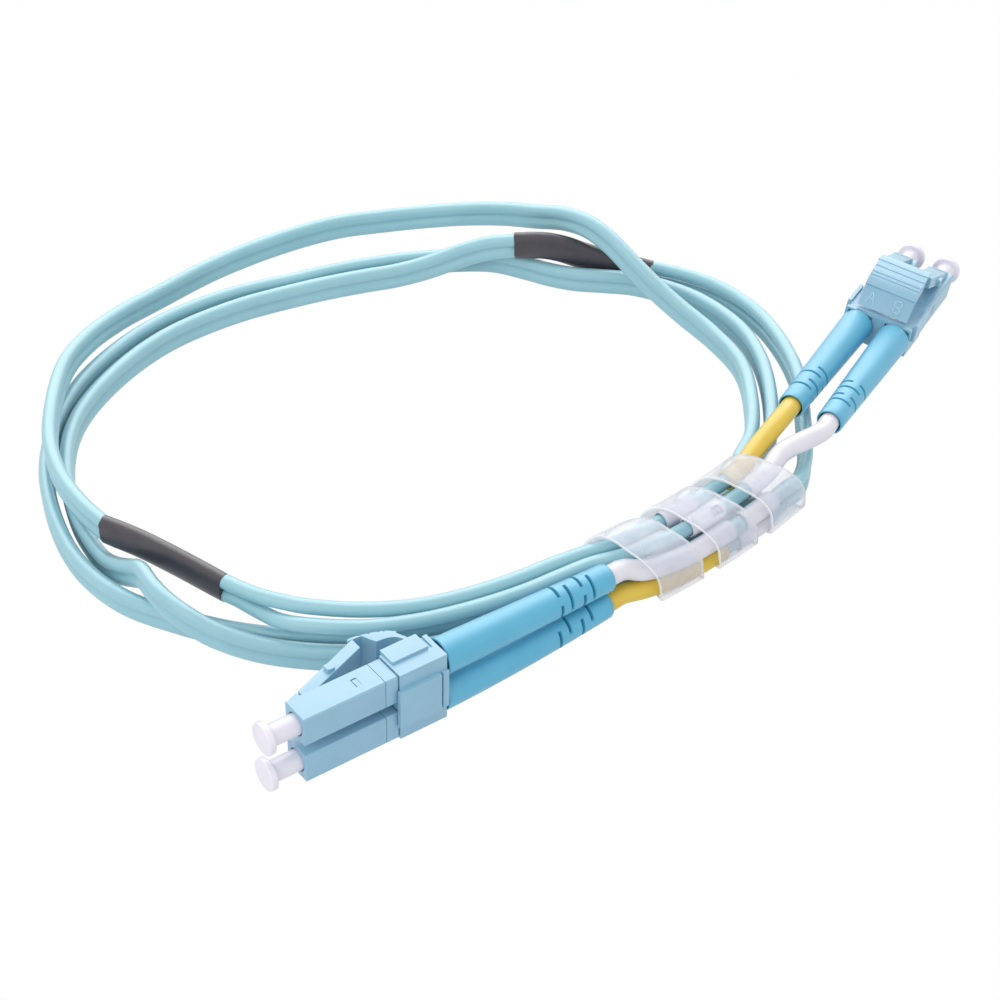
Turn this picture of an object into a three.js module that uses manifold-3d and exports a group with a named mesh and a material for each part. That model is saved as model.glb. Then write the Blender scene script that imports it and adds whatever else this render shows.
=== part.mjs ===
// A duplex fibre patch cord: two keyed twin plugs, four strain-relief boots, a zip cord
// coiled into two and a third turns, two heat-shrinks and one spiral wrap round the bundle.
// Millimetres, +Z up. The plugs are built along +X, latch side up, then posed on the table.
import * as THREE from "three";
import { mergeVertices } from "three/addons/utils/BufferGeometryUtils.js";
import Module from "manifold-3d";

const wasm = await Module();
wasm.setup();

// ---- Driving dimensions -------------------------------------------------------------

const fit = 0.25; // gap between two rigid pieces that seat end to end
const leverFit = 0.3; // gap where a lever, a spring or rubber seats
const slideFit = 0.2; // radial gap round a piece that passes through a bore
const bondFit = 0.1; // radial gap between the ferrule and its flange
const clipFit = 0.1; // gap between the clip's jaws and the plug bodies
const past = 1; // how far a cut runs past the face that it opens
const sunk = 0.1; // how deep a part of a piece is sunk into the rest of it

// Each plug is placed by a point between its two channels, at the front faces.
const plugPoses = {
  near: { place: [-25.86, -54.48, 7.21], yaw: 216.1, pitch: 3.2, roll: 92.6 },
  far: { place: [69.91, 53.05, 3.15], yaw: 61.6, pitch: -6.6, roll: 6.1 },
};
const home = { x: 22.74, y: 0.36, z: -0.1 }; // middle of the two plugs' box, and its underside

const sleeve = 3.0; // the coloured sleeves and the printed labels
const channelPitch = 6.25;

// Distances along a plug are counted back from its front face, where the ferrules are.
const cap = { stem: 3.0, deep: 5.5, reach: 4.6, disc: 4.6, discThickness: 1.0, endWall: 1.0 };
const plugBore = cap.stem + 2 * slideFit;
const housing = { side: 4.5, length: 12.2, edge: 0.2, frontDepth: 7.6, wall: 0.4 };
const springRoom = housing.frontDepth + housing.wall;
const ferrule = { diameter: 1.25, tip: 0.4, seat: 1.0, travel: 0.5, clearance: 0.325 };
const capClearance = 0.225; // radial gap between the cap and the ferrule
const flange = { front: springRoom + leverFit, length: 1.3, tail: 2.3, fibreHole: 0.4 };
const flangeBack = flange.front + flange.length;
const ferruleEnd = flange.front + ferrule.seat;

const rearBody = { front: housing.length + fit, collar: 1.65, side: 3.9, pocket: 3.75 };
const collarEnd = rearBody.front + rearBody.collar;
const pocketEnd = rearBody.front + rearBody.pocket;
const spring = { front: flangeBack + ferrule.travel + leverFit, wire: 0.34, curls: 5, room: 0.26 };
const springBack = pocketEnd - leverFit;
const springRadius = plugBore / 2 - spring.wire / 2 - spring.room;

// The clip holds both rear bodies and carries the trigger on a ridge at its back.
const clip = { front: collarEnd + slideFit, length: 7.4, wall: 0.35 };
const clipBack = clip.front + clip.length;
const clipHalfHeight = rearBody.side / 2 + clipFit + clip.wall;
const clipHalfWidth = channelPitch / 2 + clipHalfHeight;
const sideBlock = { front: clip.front + 0.4, back: clipBack - 1.4, low: -0.1, proud: 0.45 };
const sideSlot = { back: sideBlock.back + 0.7, depth: 0.25 };
const belly = { front: clip.front - 0.4, back: clipBack - 1.3, halfWidth: 3.1, drop: 0.7 };
const bellyStrip = { front: belly.back + 0.4, drop: 0.5 };
const hingeRidge = { front: clipBack - 1.7, back: clipBack - 0.2, halfWidth: 4.0, rise: 0.2 };

const rearEnd = clipBack - 0.4; // the rear body ends just inside the clip
const stub = { diameter: 3.0, bore: 1.8, end: rearEnd + 4.7 };
const crimp = { front: rearEnd + 0.5, length: 4.8, bore: stub.diameter + 2 * slideFit, wall: 0.3 };
const crimpEnd = crimp.front + crimp.length;
const crimpDiameter = crimp.bore + 2 * crimp.wall;
const boot = { front: clipBack + leverFit, length: 28.2, base: 5.3, tip: 4.1 };
const bootEnd = boot.front + boot.length;
const bootBore = { front: crimpDiameter + 2 * fit, rear: sleeve + 2 * slideFit };
const bootStep = crimpEnd + 1.4; // where the boot's bore narrows behind the crimp
const bootGrooves = { depth: 0.45, width: 0.7, flank: 0.05, long: 62, short: 34 };
const pane = { middle: 9.2, length: 0.85, height: 1.65, depth: 0.4 };

// The trigger's outline, as [distance ahead of the clip's back, height over its foot].
const triggerWidth = 8.4;
const triggerFoot = clipHalfHeight + hingeRidge.rise + 0.4;
const triggerLip = { reach: 8.3, low: 5.35, high: 5.75 };
const triggerArch = [
  [triggerLip.reach, triggerLip.low], [triggerLip.reach, triggerLip.high], [7.1, 5.7], [5.6, 5.3],
  [4.2, 4.85], [2.9, 4.2], [2.0, 3.25], [1.4, 2.05], [0.75, 0.45], [0.75, 0], [1.6, 0],
  [1.9, 1.15], [2.7, 2.45], [4.1, 3.05], [5.35, 3.19], [5.8, 4.05], [6.3, 5.25],
];

// The latch's outlines, as [distance behind the front, height over the housing].
const latchWidth = 2.9;
const latchRootEnd = 2.4;
const latchRoot = [[0.8, -0.2], [1.0, 0.7], [latchRootEnd, 1.26], [latchRootEnd, -0.2]];
const latchFront = latchRootEnd + leverFit;
const latchTip = { back: clipBack - triggerLip.reach + 0.4, thick: 1.95 };
const latchTop = triggerFoot + triggerLip.low - leverFit - housing.side / 2;
const latchArm = [
  [latchFront, 0.3], [4.9, 0.35], [latchTip.back, latchTop - latchTip.thick],
  [latchTip.back, latchTop], [latchFront, 1.38],
];
const latchLug = { front: 7.6, back: 8.7, low: 1.9, high: 3.1, halfWidth: 2.05 };

// Cord sizes.
const strand = 2.2; // one jacket, and half of the zip cord
const labelBore = 2.7;
const shrink = { width: 2.9, height: 5.0 };
const ribbon = { width: 7.5, thickness: 0.5, pitch: 10.4, tail: 1.2 };

// The wrap's middle line on the table, and the section that it is wound to.
const wrapLine = new THREE.QuadraticBezierCurve3(
  new THREE.Vector3(13.6, -23.2, 0),
  new THREE.Vector3(31.0, -12.2, 0),
  new THREE.Vector3(42.6, 2.2, 0),
);
const wrapSection = { halfWidth: 6.0, halfHeight: 5.2, middle: 5.25, squareness: 3.5 };
const wrapTop = 7.4; // how far along the first turn crosses over the top
const coilMiddle = { x: -14, y: 12 };

// Heights of the cord's middle over the table.
const low = 2.25; // the zip cord standing on the table
const over = 7.15; // riding on one zip cord
const inWrap = 3.0; // lifted by the ribbon that passes beneath

// ---- Places on the table ------------------------------------------------------------

const degrees = Math.PI / 180;

// A point of the coil, by its angle and radius from the coil's middle.
function round(angle, radius, height) {
  const turn = angle * degrees;
  return new THREE.Vector3(
    coilMiddle.x + radius * Math.cos(turn),
    coilMiddle.y + radius * Math.sin(turn),
    height,
  );
}

// A point in the bundle: millimetres along the wrap, across it towards the coil, and up.
const wrapLength = wrapLine.getLength();
function bundle(along, across, height) {
  const inside = Math.min(Math.max(along, 0), wrapLength);
  const heading = wrapLine.getTangentAt(inside / wrapLength);
  return wrapLine
    .getPointAt(inside / wrapLength)
    .addScaledVector(heading, along - inside)
    .add(new THREE.Vector3(-heading.y * across, heading.x * across, height));
}

// The zip cord's stations, pass by pass: angle, radius, height. Each pass starts at the
// right of the coil, goes round by the back and the left, and ends where the bundle begins.
const passes = [
  [
    [74, 45.4, 6.8], [78, 44.7, 5.8], [82, 44.1, 4.6], [88, 42.9, 3.2], [95, 41.9, 2.4],
    [101, 41.5, low], [109, 41.2, low], [117, 41.4, low], [133, 43.4, low], [149, 46.4, low],
    [164, 48.9, low], [177, 50.9, low], [189, 51.3, low], [202, 51.1, low], [209, 50.9, low],
    [214, 50.7, 2.4], [218, 50.3, 3.5], [222, 49.9, 5.3], [225, 50.1, 6.9], [229, 51.1, over],
    [233, 51.9, over], [237, 52.0, 6.4], [241, 51.4, 5.0], [247, 49.8, 3.2], [254, 48.2, low],
    [264, 47.0, low], [274, 45.8, low], [284, 44.6, low], [294, 43.8, low], [302, 43.5, low],
  ],
  [
    [9, 56.6, low], [19, 58.3, low], [27, 58.8, low], [37, 57.4, low], [47, 54.0, low],
    [52, 51.3, low], [57, 48.9, low], [62, 47.9, low], [68, 47.9, low], [75, 48.1, low],
    [88, 46.0, low], [102, 44.6, low], [117, 44.4, low], [133, 47.0, low], [149, 50.1, low],
    [165, 52.6, low], [177, 53.7, low], [189, 54.2, low], [202, 54.1, low], [213, 53.9, low],
    [223, 52.6, low], [232, 50.2, low], [240, 48.4, low], [247, 46.9, low], [254, 45.4, low],
    [264, 44.2, low], [274, 43.0, low], [284, 41.8, low], [294, 41.0, low], [302, 40.7, low],
  ],
  [
    [8, 53.4, low], [18, 54.7, low], [27, 54.0, 2.6], [34, 52.6, 3.8], [40, 51.8, 5.4],
    [46, 51.5, 7.6], [52, 51.9, 9.8], [57, 52.4, 10.8], [62, 53.0, 10.4], [68, 53.8, 8.8],
    [75, 56.2, 6.4], [82, 57.8, 4.4], [89, 58.5, 3.0], [96, 58.6, low], [104, 58.1, low],
    [114, 56.8, low], [127, 55.7, low], [140, 55.0, 2.7], [150, 54.8, 4.2], [160, 54.5, 6.0],
    [170, 54.1, over], [187, 53.1, over], [197, 52.1, over], [206, 50.6, 7.3],
  ],
];

// Where the zip cord leaves and meets the heat-shrinks.
const zipStart = round(69.3, 46.6, 7.2);
const zipEnd = round(212.7, 49.4, 7.45);

// The bundle's stretches that join one pass to the next.
const bundleRuns = [
  [
    bundle(0, 1.5, 2.6), bundle(4, 0.7, inWrap), bundle(8, 0, inWrap), bundle(14, -0.2, inWrap),
    bundle(20, -0.2, inWrap), bundle(26, -0.1, inWrap), bundle(29.5, 0.4, inWrap),
    bundle(33, 1.8, 2.7), bundle(36.5, 3.9, low), round(-1, 54.9, low),
  ],
  [
    bundle(0, 4.2, 2.6), bundle(4, 3.4, inWrap), bundle(8, 2.7, inWrap), bundle(14, 2.5, inWrap),
    bundle(20, 2.5, inWrap), bundle(26, 2.7, inWrap), bundle(29.5, 3.2, inWrap),
    bundle(33, 4.9, 2.7), bundle(36.5, 7.3, low), round(-1, 52.0, low),
  ],
];

const stations = [zipStart];
passes.forEach((pass, index) => {
  pass.forEach((station) => stations.push(round(...station)));
  if (index < bundleRuns.length) stations.push(...bundleRuns[index]);
});
stations.push(zipEnd);

// ---- Solids -------------------------------------------------------------------------

// A closed three.js geometry as a manifold-3d solid that faces out.
function solid(geometry) {
  const bare = geometry.index ? geometry.toNonIndexed() : geometry.clone();
  bare.deleteAttribute("normal");
  bare.deleteAttribute("uv");
  const merged = mergeVertices(bare, 1e-4);
  const triVerts = new Uint32Array(merged.index.array);
  const vertProperties = merged.attributes.position.array;
  const made = new wasm.Manifold(new wasm.Mesh({ numProp: 3, vertProperties, triVerts }));
  if (made.volume() > 0) return made;
  for (let i = 0; i < triVerts.length; i += 3) {
    const first = triVerts[i];
    triVerts[i] = triVerts[i + 1];
    triVerts[i + 1] = first;
  }
  return new wasm.Manifold(new wasm.Mesh({ numProp: 3, vertProperties, triVerts }));
}

function geometryOf(made) {
  const mesh = made.getMesh();
  const geometry = new THREE.BufferGeometry();
  geometry.setAttribute("position", new THREE.BufferAttribute(mesh.vertProperties, 3));
  geometry.setIndex(new THREE.BufferAttribute(mesh.triVerts, 1));
  geometry.computeVertexNormals();
  return geometry;
}

// A box by its distances behind the front, its sides and its heights.
function box(front, back, left, right, bottom, top) {
  const geometry = new THREE.BoxGeometry(back - front, right - left, top - bottom);
  geometry.translate(-(front + back) / 2, (left + right) / 2, (bottom + top) / 2);
  return solid(geometry);
}

// A square bar along X with its long edges eased.
function bar(front, back, side, edge) {
  const half = side / 2;
  const corner = half - edge;
  const outline = new THREE.Shape([
    new THREE.Vector2(-corner, -half), new THREE.Vector2(corner, -half),
    new THREE.Vector2(half, -corner), new THREE.Vector2(half, corner),
    new THREE.Vector2(corner, half), new THREE.Vector2(-corner, half),
    new THREE.Vector2(-half, corner), new THREE.Vector2(-half, -corner),
  ]);
  const geometry = new THREE.ExtrudeGeometry(outline, { depth: back - front, bevelEnabled: false });
  geometry.rotateY(-Math.PI / 2);
  geometry.translate(-front, 0, 0);
  return solid(geometry);
}

// A plate cut to an outline of distances behind the front and heights over the housing.
function plate(outline, width, base = housing.side / 2) {
  const corners = outline.map(([back, height]) => new THREE.Vector2(-back, height));
  const shape = new THREE.Shape(corners);
  const geometry = new THREE.ExtrudeGeometry(shape, { depth: width, bevelEnabled: false });
  geometry.rotateX(Math.PI / 2);
  geometry.translate(0, width / 2, base);
  return solid(geometry);
}

// A turned piece about the X axis, from points of distance behind the front and radius.
function turned(profile, sides) {
  const points = profile.map(([back, radius]) => new THREE.Vector2(radius, back));
  const geometry = new THREE.LatheGeometry(points, sides);
  geometry.rotateZ(Math.PI / 2);
  return solid(geometry);
}

function tubeProfile(front, back, bore, diameter) {
  const inner = bore / 2;
  const outer = diameter / 2;
  return [[front, inner], [front, outer], [back, outer], [back, inner], [front, inner]];
}

function rod(front, back, diameter, sides) {
  const radius = diameter / 2;
  return turned([[front, 0], [front, radius], [back, radius], [back, 0]], sides);
}

// A closed body through rings of equal point counts: capped at both ends, or, when hollow,
// joined from its last ring back to its first.
function loft(rings, hollow = false) {
  const sides = rings[0].length;
  const corners = rings.flat().flatMap((point) => [point.x, point.y, point.z]);
  const faces = [];
  const spans = hollow ? rings.length : rings.length - 1;
  for (let ring = 0; ring < spans; ring++) {
    const next = (ring + 1) % rings.length;
    for (let side = 0; side < sides; side++) {
      const beside = (side + 1) % sides;
      const [a, b] = [ring * sides + side, ring * sides + beside];
      const [c, d] = [next * sides + beside, next * sides + side];
      faces.push(a, b, c, a, c, d);
    }
  }
  if (!hollow) {
    const last = (rings.length - 1) * sides;
    [rings[0], rings[rings.length - 1]].forEach((ring, end) => {
      const hub = corners.length / 3;
      const middle = ring.reduce((sum, point) => sum.add(point), new THREE.Vector3());
      middle.divideScalar(sides);
      corners.push(middle.x, middle.y, middle.z);
      for (let side = 0; side < sides; side++) {
        const beside = (side + 1) % sides;
        if (end) faces.push(hub, last + side, last + beside);
        else faces.push(hub, beside, side);
      }
    });
  }
  const geometry = new THREE.BufferGeometry();
  geometry.setAttribute("position", new THREE.Float32BufferAttribute(corners, 3));
  geometry.setIndex(faces);
  return solid(geometry);
}

// Rings of one upright section along a curve. A section is a list of [across, up] pairs.
function sweptRings(curve, steps, section) {
  const vertical = new THREE.Vector3(0, 0, 1);
  return Array.from({ length: steps + 1 }, (_, step) => {
    const middle = curve.getPointAt(step / steps);
    const heading = curve.getTangentAt(step / steps);
    const across = new THREE.Vector3().crossVectors(vertical, heading).normalize();
    const up = new THREE.Vector3().crossVectors(heading, across);
    return section.map(([side, rise]) =>
      middle.clone().addScaledVector(across, side).addScaledVector(up, rise),
    );
  });
}

function roundSection(diameter, sides) {
  return Array.from({ length: sides }, (_, side) => {
    const turn = (side / sides) * 2 * Math.PI;
    return [(diameter / 2) * Math.cos(turn), (diameter / 2) * Math.sin(turn)];
  });
}

// Two strands one above the other with the crease between them.
function zipSection() {
  const creaseAngle = 52 * degrees;
  const lobePoints = 7;
  const lobe = Array.from({ length: lobePoints }, (_, point) => {
    const turn = -creaseAngle + (point / (lobePoints - 1)) * (Math.PI + 2 * creaseAngle);
    return [(strand / 2) * Math.cos(turn), (strand / 2) * (1 + Math.sin(turn))];
  });
  const mirrored = lobe.map(([side, rise]) => [-side, -rise]);
  return [...lobe, ...mirrored];
}

function ovalSection(width, height, sides) {
  return Array.from({ length: sides }, (_, side) => {
    const turn = (side / sides) * 2 * Math.PI;
    return [(width / 2) * Math.cos(turn), (height / 2) * Math.sin(turn)];
  });
}

// A curve through the points that runs straight at both ends.
function smooth(points) {
  return new THREE.CatmullRomCurve3(points, false, "centripetal");
}

// ---- The object's tree --------------------------------------------------------------

const finishes = {
  shell: { color: "#A3CADB", roughness: 0.45 },
  bootRubber: { color: "#6FB6D3", roughness: 0.6 },
  capPlastic: { color: "#ECE9F4", roughness: 0.35 },
  ceramic: { color: "#F4F4F0", roughness: 0.15 },
  steel: { color: "#B9BDC2", roughness: 0.3, metalness: 1 },
  jacket: { color: "#9FCBD3", roughness: 0.45 },
  shrinkBlack: { color: "#3E3A45", roughness: 0.5 },
  sleeveYellow: { color: "#E8CF5A", roughness: 0.4 },
  sleeveWhite: { color: "#E8E6F0", roughness: 0.4 },
  film: { color: "#DDE3EE", roughness: 0.3 },
};

const table = new THREE.Group();
table.position.set(-home.x, -home.y, -home.z);

function add(parent, name, made, finish, side = 0) {
  const material = new THREE.MeshStandardMaterial(finishes[finish]);
  const mesh = new THREE.Mesh(geometryOf(made), material);
  mesh.name = name;
  mesh.position.y = side;
  parent.add(mesh);
}

// ---- One channel of a plug ----------------------------------------------------------

function housingShell(outward) {
  const half = housing.side / 2;
  const shell = bar(0, housing.length, housing.side, housing.edge);
  const opening = box(
    pane.middle - pane.length / 2,
    pane.middle + pane.length / 2,
    outward > 0 ? half - pane.depth : -half - past,
    outward > 0 ? half + past : pane.depth - half,
    -pane.height / 2,
    pane.height / 2,
  );
  const ferruleHole = ferrule.diameter + 2 * ferrule.clearance;
  return shell
    .add(plate(latchRoot, latchWidth))
    .subtract(rod(-past, housing.frontDepth, plugBore, 24))
    .subtract(rod(housing.frontDepth - past, springRoom + past, ferruleHole, 20))
    .subtract(rod(springRoom, housing.length + past, plugBore, 20))
    .subtract(opening);
}

function latchSolid() {
  const lift = housing.side / 2;
  const lug = box(
    latchLug.front,
    latchLug.back,
    -latchLug.halfWidth,
    latchLug.halfWidth,
    lift + latchLug.low,
    lift + latchLug.high,
  );
  return plate(latchArm, latchWidth).add(lug);
}

function rearBodySolid() {
  const neck = bar(collarEnd - sunk, rearEnd, rearBody.side, housing.edge);
  return bar(rearBody.front, collarEnd, housing.side, housing.edge)
    .add(neck)
    .add(rod(rearEnd - past, stub.end, stub.diameter, 20))
    .subtract(rod(rearBody.front - past, pocketEnd, plugBore, 20))
    .subtract(rod(pocketEnd - past, stub.end + past, stub.bore, 16));
}

function flangeSolid() {
  const bore = ferrule.diameter / 2 + bondFit;
  const boreEnd = ferruleEnd + bondFit;
  const rim = plugBore / 2 - fit;
  const neck = springRadius - spring.wire / 2 - slideFit;
  const tailEnd = flangeBack + flange.tail;
  return turned(
    [
      [flange.front, bore], [flange.front, rim], [flangeBack, rim], [flangeBack, neck],
      [tailEnd, neck], [tailEnd, flange.fibreHole], [boreEnd, flange.fibreHole],
      [boreEnd, bore], [flange.front, bore],
    ],
    16,
  );
}

function springSolid() {
  const stepsPerCurl = 8;
  const wireSides = 5;
  const steps = spring.curls * stepsPerCurl;
  const climb = springBack - spring.front - spring.wire;
  const rings = Array.from({ length: steps + 1 }, (_, step) => {
    const turn = (step / stepsPerCurl) * 2 * Math.PI;
    const back = spring.front + spring.wire / 2 + (step / steps) * climb;
    return Array.from({ length: wireSides }, (_, side) => {
      const angle = (side / wireSides) * 2 * Math.PI;
      const reach = springRadius + (spring.wire / 2) * Math.cos(angle);
      const shift = (spring.wire / 2) * Math.sin(angle);
      return new THREE.Vector3(-back - shift, reach * Math.cos(turn), reach * Math.sin(turn));
    });
  });
  return loft(rings);
}

function capSolid() {
  const stem = cap.stem / 2;
  const bore = ferrule.diameter / 2 + capClearance;
  const hollowEnd = cap.reach - cap.endWall;
  const face = -cap.reach - cap.discThickness;
  return turned(
    [
      [cap.deep, bore], [cap.deep, stem], [-cap.reach, stem], [-cap.reach, cap.disc / 2],
      [face, cap.disc / 2], [face, 0], [-hollowEnd, 0], [-hollowEnd, bore], [cap.deep, bore],
    ],
    20,
  );
}

// How far a boot has bent sideways and up at a distance behind the front.
function bootBend(back, bend) {
  const share = Math.max(0, (back - boot.front) / boot.length);
  return bend.map((reach) => reach * share * share);
}

// The boot's slots, each cut over part of the way round on both sides.
const grooves = [
  { fromEnd: 3.8, half: bootGrooves.long },
  { fromEnd: 5.6, half: bootGrooves.short },
  { fromEnd: 7.6, half: bootGrooves.long },
  { fromEnd: 9.5, half: bootGrooves.short },
];

function bootSolid(bend) {
  const sides = 20;
  const outerAt = (back) => {
    const share = (back - boot.front) / boot.length;
    return (boot.base + share * (boot.tip - boot.base)) / 2;
  };
  const ring = (back, radius, groove) => {
    const [aside, rise] = bootBend(back, bend);
    return Array.from({ length: sides }, (_, side) => {
      const turn = ((side + 0.5) / sides) * 2 * Math.PI;
      const fromSide = Math.asin(Math.abs(Math.sin(turn))) / degrees;
      const cut = groove && fromSide < groove.half ? bootGrooves.depth : 0;
      const reach = radius - cut;
      return new THREE.Vector3(
        -back,
        aside + reach * Math.cos(turn),
        rise + reach * Math.sin(turn),
      );
    });
  };
  const third = boot.front + boot.length / 3;
  const outer = [ring(boot.front, outerAt(boot.front)), ring(third, outerAt(third))];
  [...grooves].reverse().forEach((groove) => {
    const middle = bootEnd - groove.fromEnd;
    const edges = [middle - bootGrooves.width / 2, middle + bootGrooves.width / 2];
    outer.push(ring(edges[0] - bootGrooves.flank, outerAt(edges[0])));
    edges.forEach((edge) => outer.push(ring(edge, outerAt(edge), groove)));
    outer.push(ring(edges[1] + bootGrooves.flank, outerAt(edges[1])));
  });
  outer.push(ring(bootEnd, outerAt(bootEnd)));
  const narrow = bootBore.rear / 2;
  const wide = bootBore.front / 2;
  const halfway = (bootStep + bootEnd) / 2;
  const inner = [
    ring(bootEnd, narrow), ring(halfway, narrow), ring(bootStep, narrow),
    ring(bootStep - (wide - narrow), wide), ring(boot.front, wide),
  ];
  return loft([...outer, ...inner], true);
}

function buildChannel(plug, name, side, outward, bend) {
  add(plug, `${name}_housing`, housingShell(outward), "shell", side);
  add(plug, `${name}_latch`, latchSolid(), "shell", side);
  add(plug, `${name}_rear_body`, rearBodySolid(), "shell", side);
  add(plug, `${name}_ferrule`, rod(ferrule.tip, ferruleEnd, ferrule.diameter, 16), "ceramic", side);
  add(plug, `${name}_ferrule_flange`, flangeSolid(), "steel", side);
  add(plug, `${name}_spring`, springSolid(), "steel", side);
  const crimpProfile = tubeProfile(crimp.front, crimpEnd, crimp.bore, crimpDiameter);
  add(plug, `${name}_crimp_sleeve`, turned(crimpProfile, 16), "steel", side);
  add(plug, `${name}_boot`, bootSolid(bend), "bootRubber", side);
  add(plug, `${name}_dust_cap`, capSolid(), "capPlastic", side);
}

// ---- The clip and its trigger -------------------------------------------------------

function clipSolid() {
  const high = clipHalfHeight;
  const wide = clipHalfWidth;
  const jaw = rearBody.side / 2 + clipFit;
  let made = box(clip.front, clipBack, -wide, wide, -high, high);
  for (const side of [-1, 1]) {
    const middle = (side * channelPitch) / 2;
    const opening = box(clip.front - past, clipBack + past, middle - jaw, middle + jaw, -jaw, jaw);
    const blockSides = [side * (wide - sunk), side * (wide + sideBlock.proud)].sort((a, b) => a - b);
    const blockTop = high + sideBlock.proud;
    const block = box(sideBlock.front, sideBlock.back, ...blockSides, sideBlock.low, blockTop);
    const slotSides = [side * (wide - sideSlot.depth), side * (wide + past)].sort((a, b) => a - b);
    const slot = box(sideBlock.back, sideSlot.back, ...slotSides, sideBlock.low, high + past);
    made = made.add(block).subtract(opening).subtract(slot);
  }
  const pad = belly.halfWidth;
  const ridge = hingeRidge.halfWidth;
  const underCollar = -housing.side / 2 - slideFit;
  const padSolid = box(belly.front, belly.back, -pad, pad, -high - belly.drop, sunk - high);
  const room = box(belly.front - past, clip.front, -pad - past, pad + past, underCollar, 0);
  return made
    .add(padSolid.subtract(room))
    .add(box(bellyStrip.front, clipBack, -pad, pad, -high - bellyStrip.drop, sunk - high))
    .add(box(hingeRidge.front, hingeRidge.back, -ridge, ridge, high - sunk, high + hingeRidge.rise));
}

function buildPlug(side, pose, channels) {
  const plug = new THREE.Group();
  plug.position.set(...pose.place);
  plug.rotation.set(pose.roll * degrees, -pose.pitch * degrees, pose.yaw * degrees, "ZYX");
  for (const channel of channels) {
    const middle = (channel.outward * channelPitch) / 2;
    const name = `${side}_plug_${channel.letter}`;
    buildChannel(plug, name, middle, channel.outward, channel.bend);
  }
  add(plug, `${side}_duplex_clip`, clipSolid(), "shell");
  const arch = triggerArch.map(([ahead, height]) => [clipBack - ahead, height]);
  add(plug, `${side}_trigger`, plate(arch, triggerWidth, triggerFoot), "shell");
  table.add(plug);
  plug.updateMatrix();
  return plug;
}

const channels = {
  near: [
    { letter: "a", outward: 1, bend: [0.2, 0] },
    { letter: "b", outward: -1, bend: [1.7, 0] },
  ],
  far: [
    { letter: "a", outward: 1, bend: [0, 0] },
    { letter: "b", outward: -1, bend: [0, 0] },
  ],
};
const plugs = {};
for (const side of ["near", "far"]) {
  plugs[side] = buildPlug(side, plugPoses[side], channels[side]);
}

// A point on a channel's middle line, on the table, at a distance behind the front.
function behindFront(side, letter, back) {
  const channel = channels[side].find((entry) => entry.letter === letter);
  const [aside, rise] = bootBend(back, channel.bend);
  const point = new THREE.Vector3(-back, (channel.outward * channelPitch) / 2 + aside, rise);
  return point.applyMatrix4(plugs[side].matrix);
}

// ---- Sleeves, legs and labels -------------------------------------------------------

// Where each sleeve starts inside its boot, and where it ends in the bundle.
const sleeveStart = -3.2; // behind the boot's end, so inside it
const inBoot = (side, letter) =>
  [sleeveStart, 0.4, 2.8].map((behind) => behindFront(side, letter, bootEnd + behind));

const sleeves = {
  near_white_sleeve: {
    finish: "sleeveWhite",
    route: [
      ...inBoot("near", "a"), bundle(6, -2.6, 6.5), bundle(10, -3.1, 6.1), bundle(14, -3.3, 5.9),
      bundle(18.5, -3.3, 5.9), bundle(21, -3.3, 5.9),
    ],
  },
  near_yellow_sleeve: {
    finish: "sleeveYellow",
    route: [
      ...inBoot("near", "b"), bundle(6, -2.6, 3.0), bundle(10, -3.0, 2.7), bundle(14, -3.2, 2.6),
      bundle(17.5, -3.2, 2.6), bundle(20, -3.2, 2.6),
    ],
  },
  far_yellow_sleeve: {
    finish: "sleeveYellow",
    route: [
      ...inBoot("far", "a"), bundle(36, 3.8, 8.5), bundle(32.5, 3.4, 7.9), bundle(29.5, 3.15, 7.6),
      bundle(27, 3.1, 7.5),
    ],
  },
  far_white_sleeve: {
    finish: "sleeveWhite",
    route: [
      ...inBoot("far", "b"), bundle(37, 0.4, 8.2), bundle(33, -0.2, 7.7), bundle(29.5, -0.3, 7.5),
      bundle(27.5, -0.3, 7.5),
    ],
  },
};

const sleeveSides = 12;
const sleeveStep = 2.6;
for (const [name, { finish, route }] of Object.entries(sleeves)) {
  const curve = smooth(route);
  const steps = Math.round(curve.getLength() / sleeveStep);
  add(table, name, loft(sweptRings(curve, steps, roundSection(sleeve, sleeveSides))), finish);
}

// The near legs run from their sleeves to the first heat-shrink, the far legs from the
// second heat-shrink back to theirs.
const stack = 1.25; // half the distance between two stacked legs
const shrinkOne = [round(47.6, 57.0, 2.9), round(52, 54.6, 3.7), round(57, 51.9, 5.1),
  round(61, 49.9, 6.6), round(64, 48.6, 7.2), round(68.6, 46.9, 7.25)];
const shrinkTwo = [round(213.4, 49.1, 7.5), round(219, 47.0, 7.55), round(226, 45.6, 7.55),
  round(232, 45.1, 7.5), round(237.6, 45.1, 7.4)];

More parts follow.
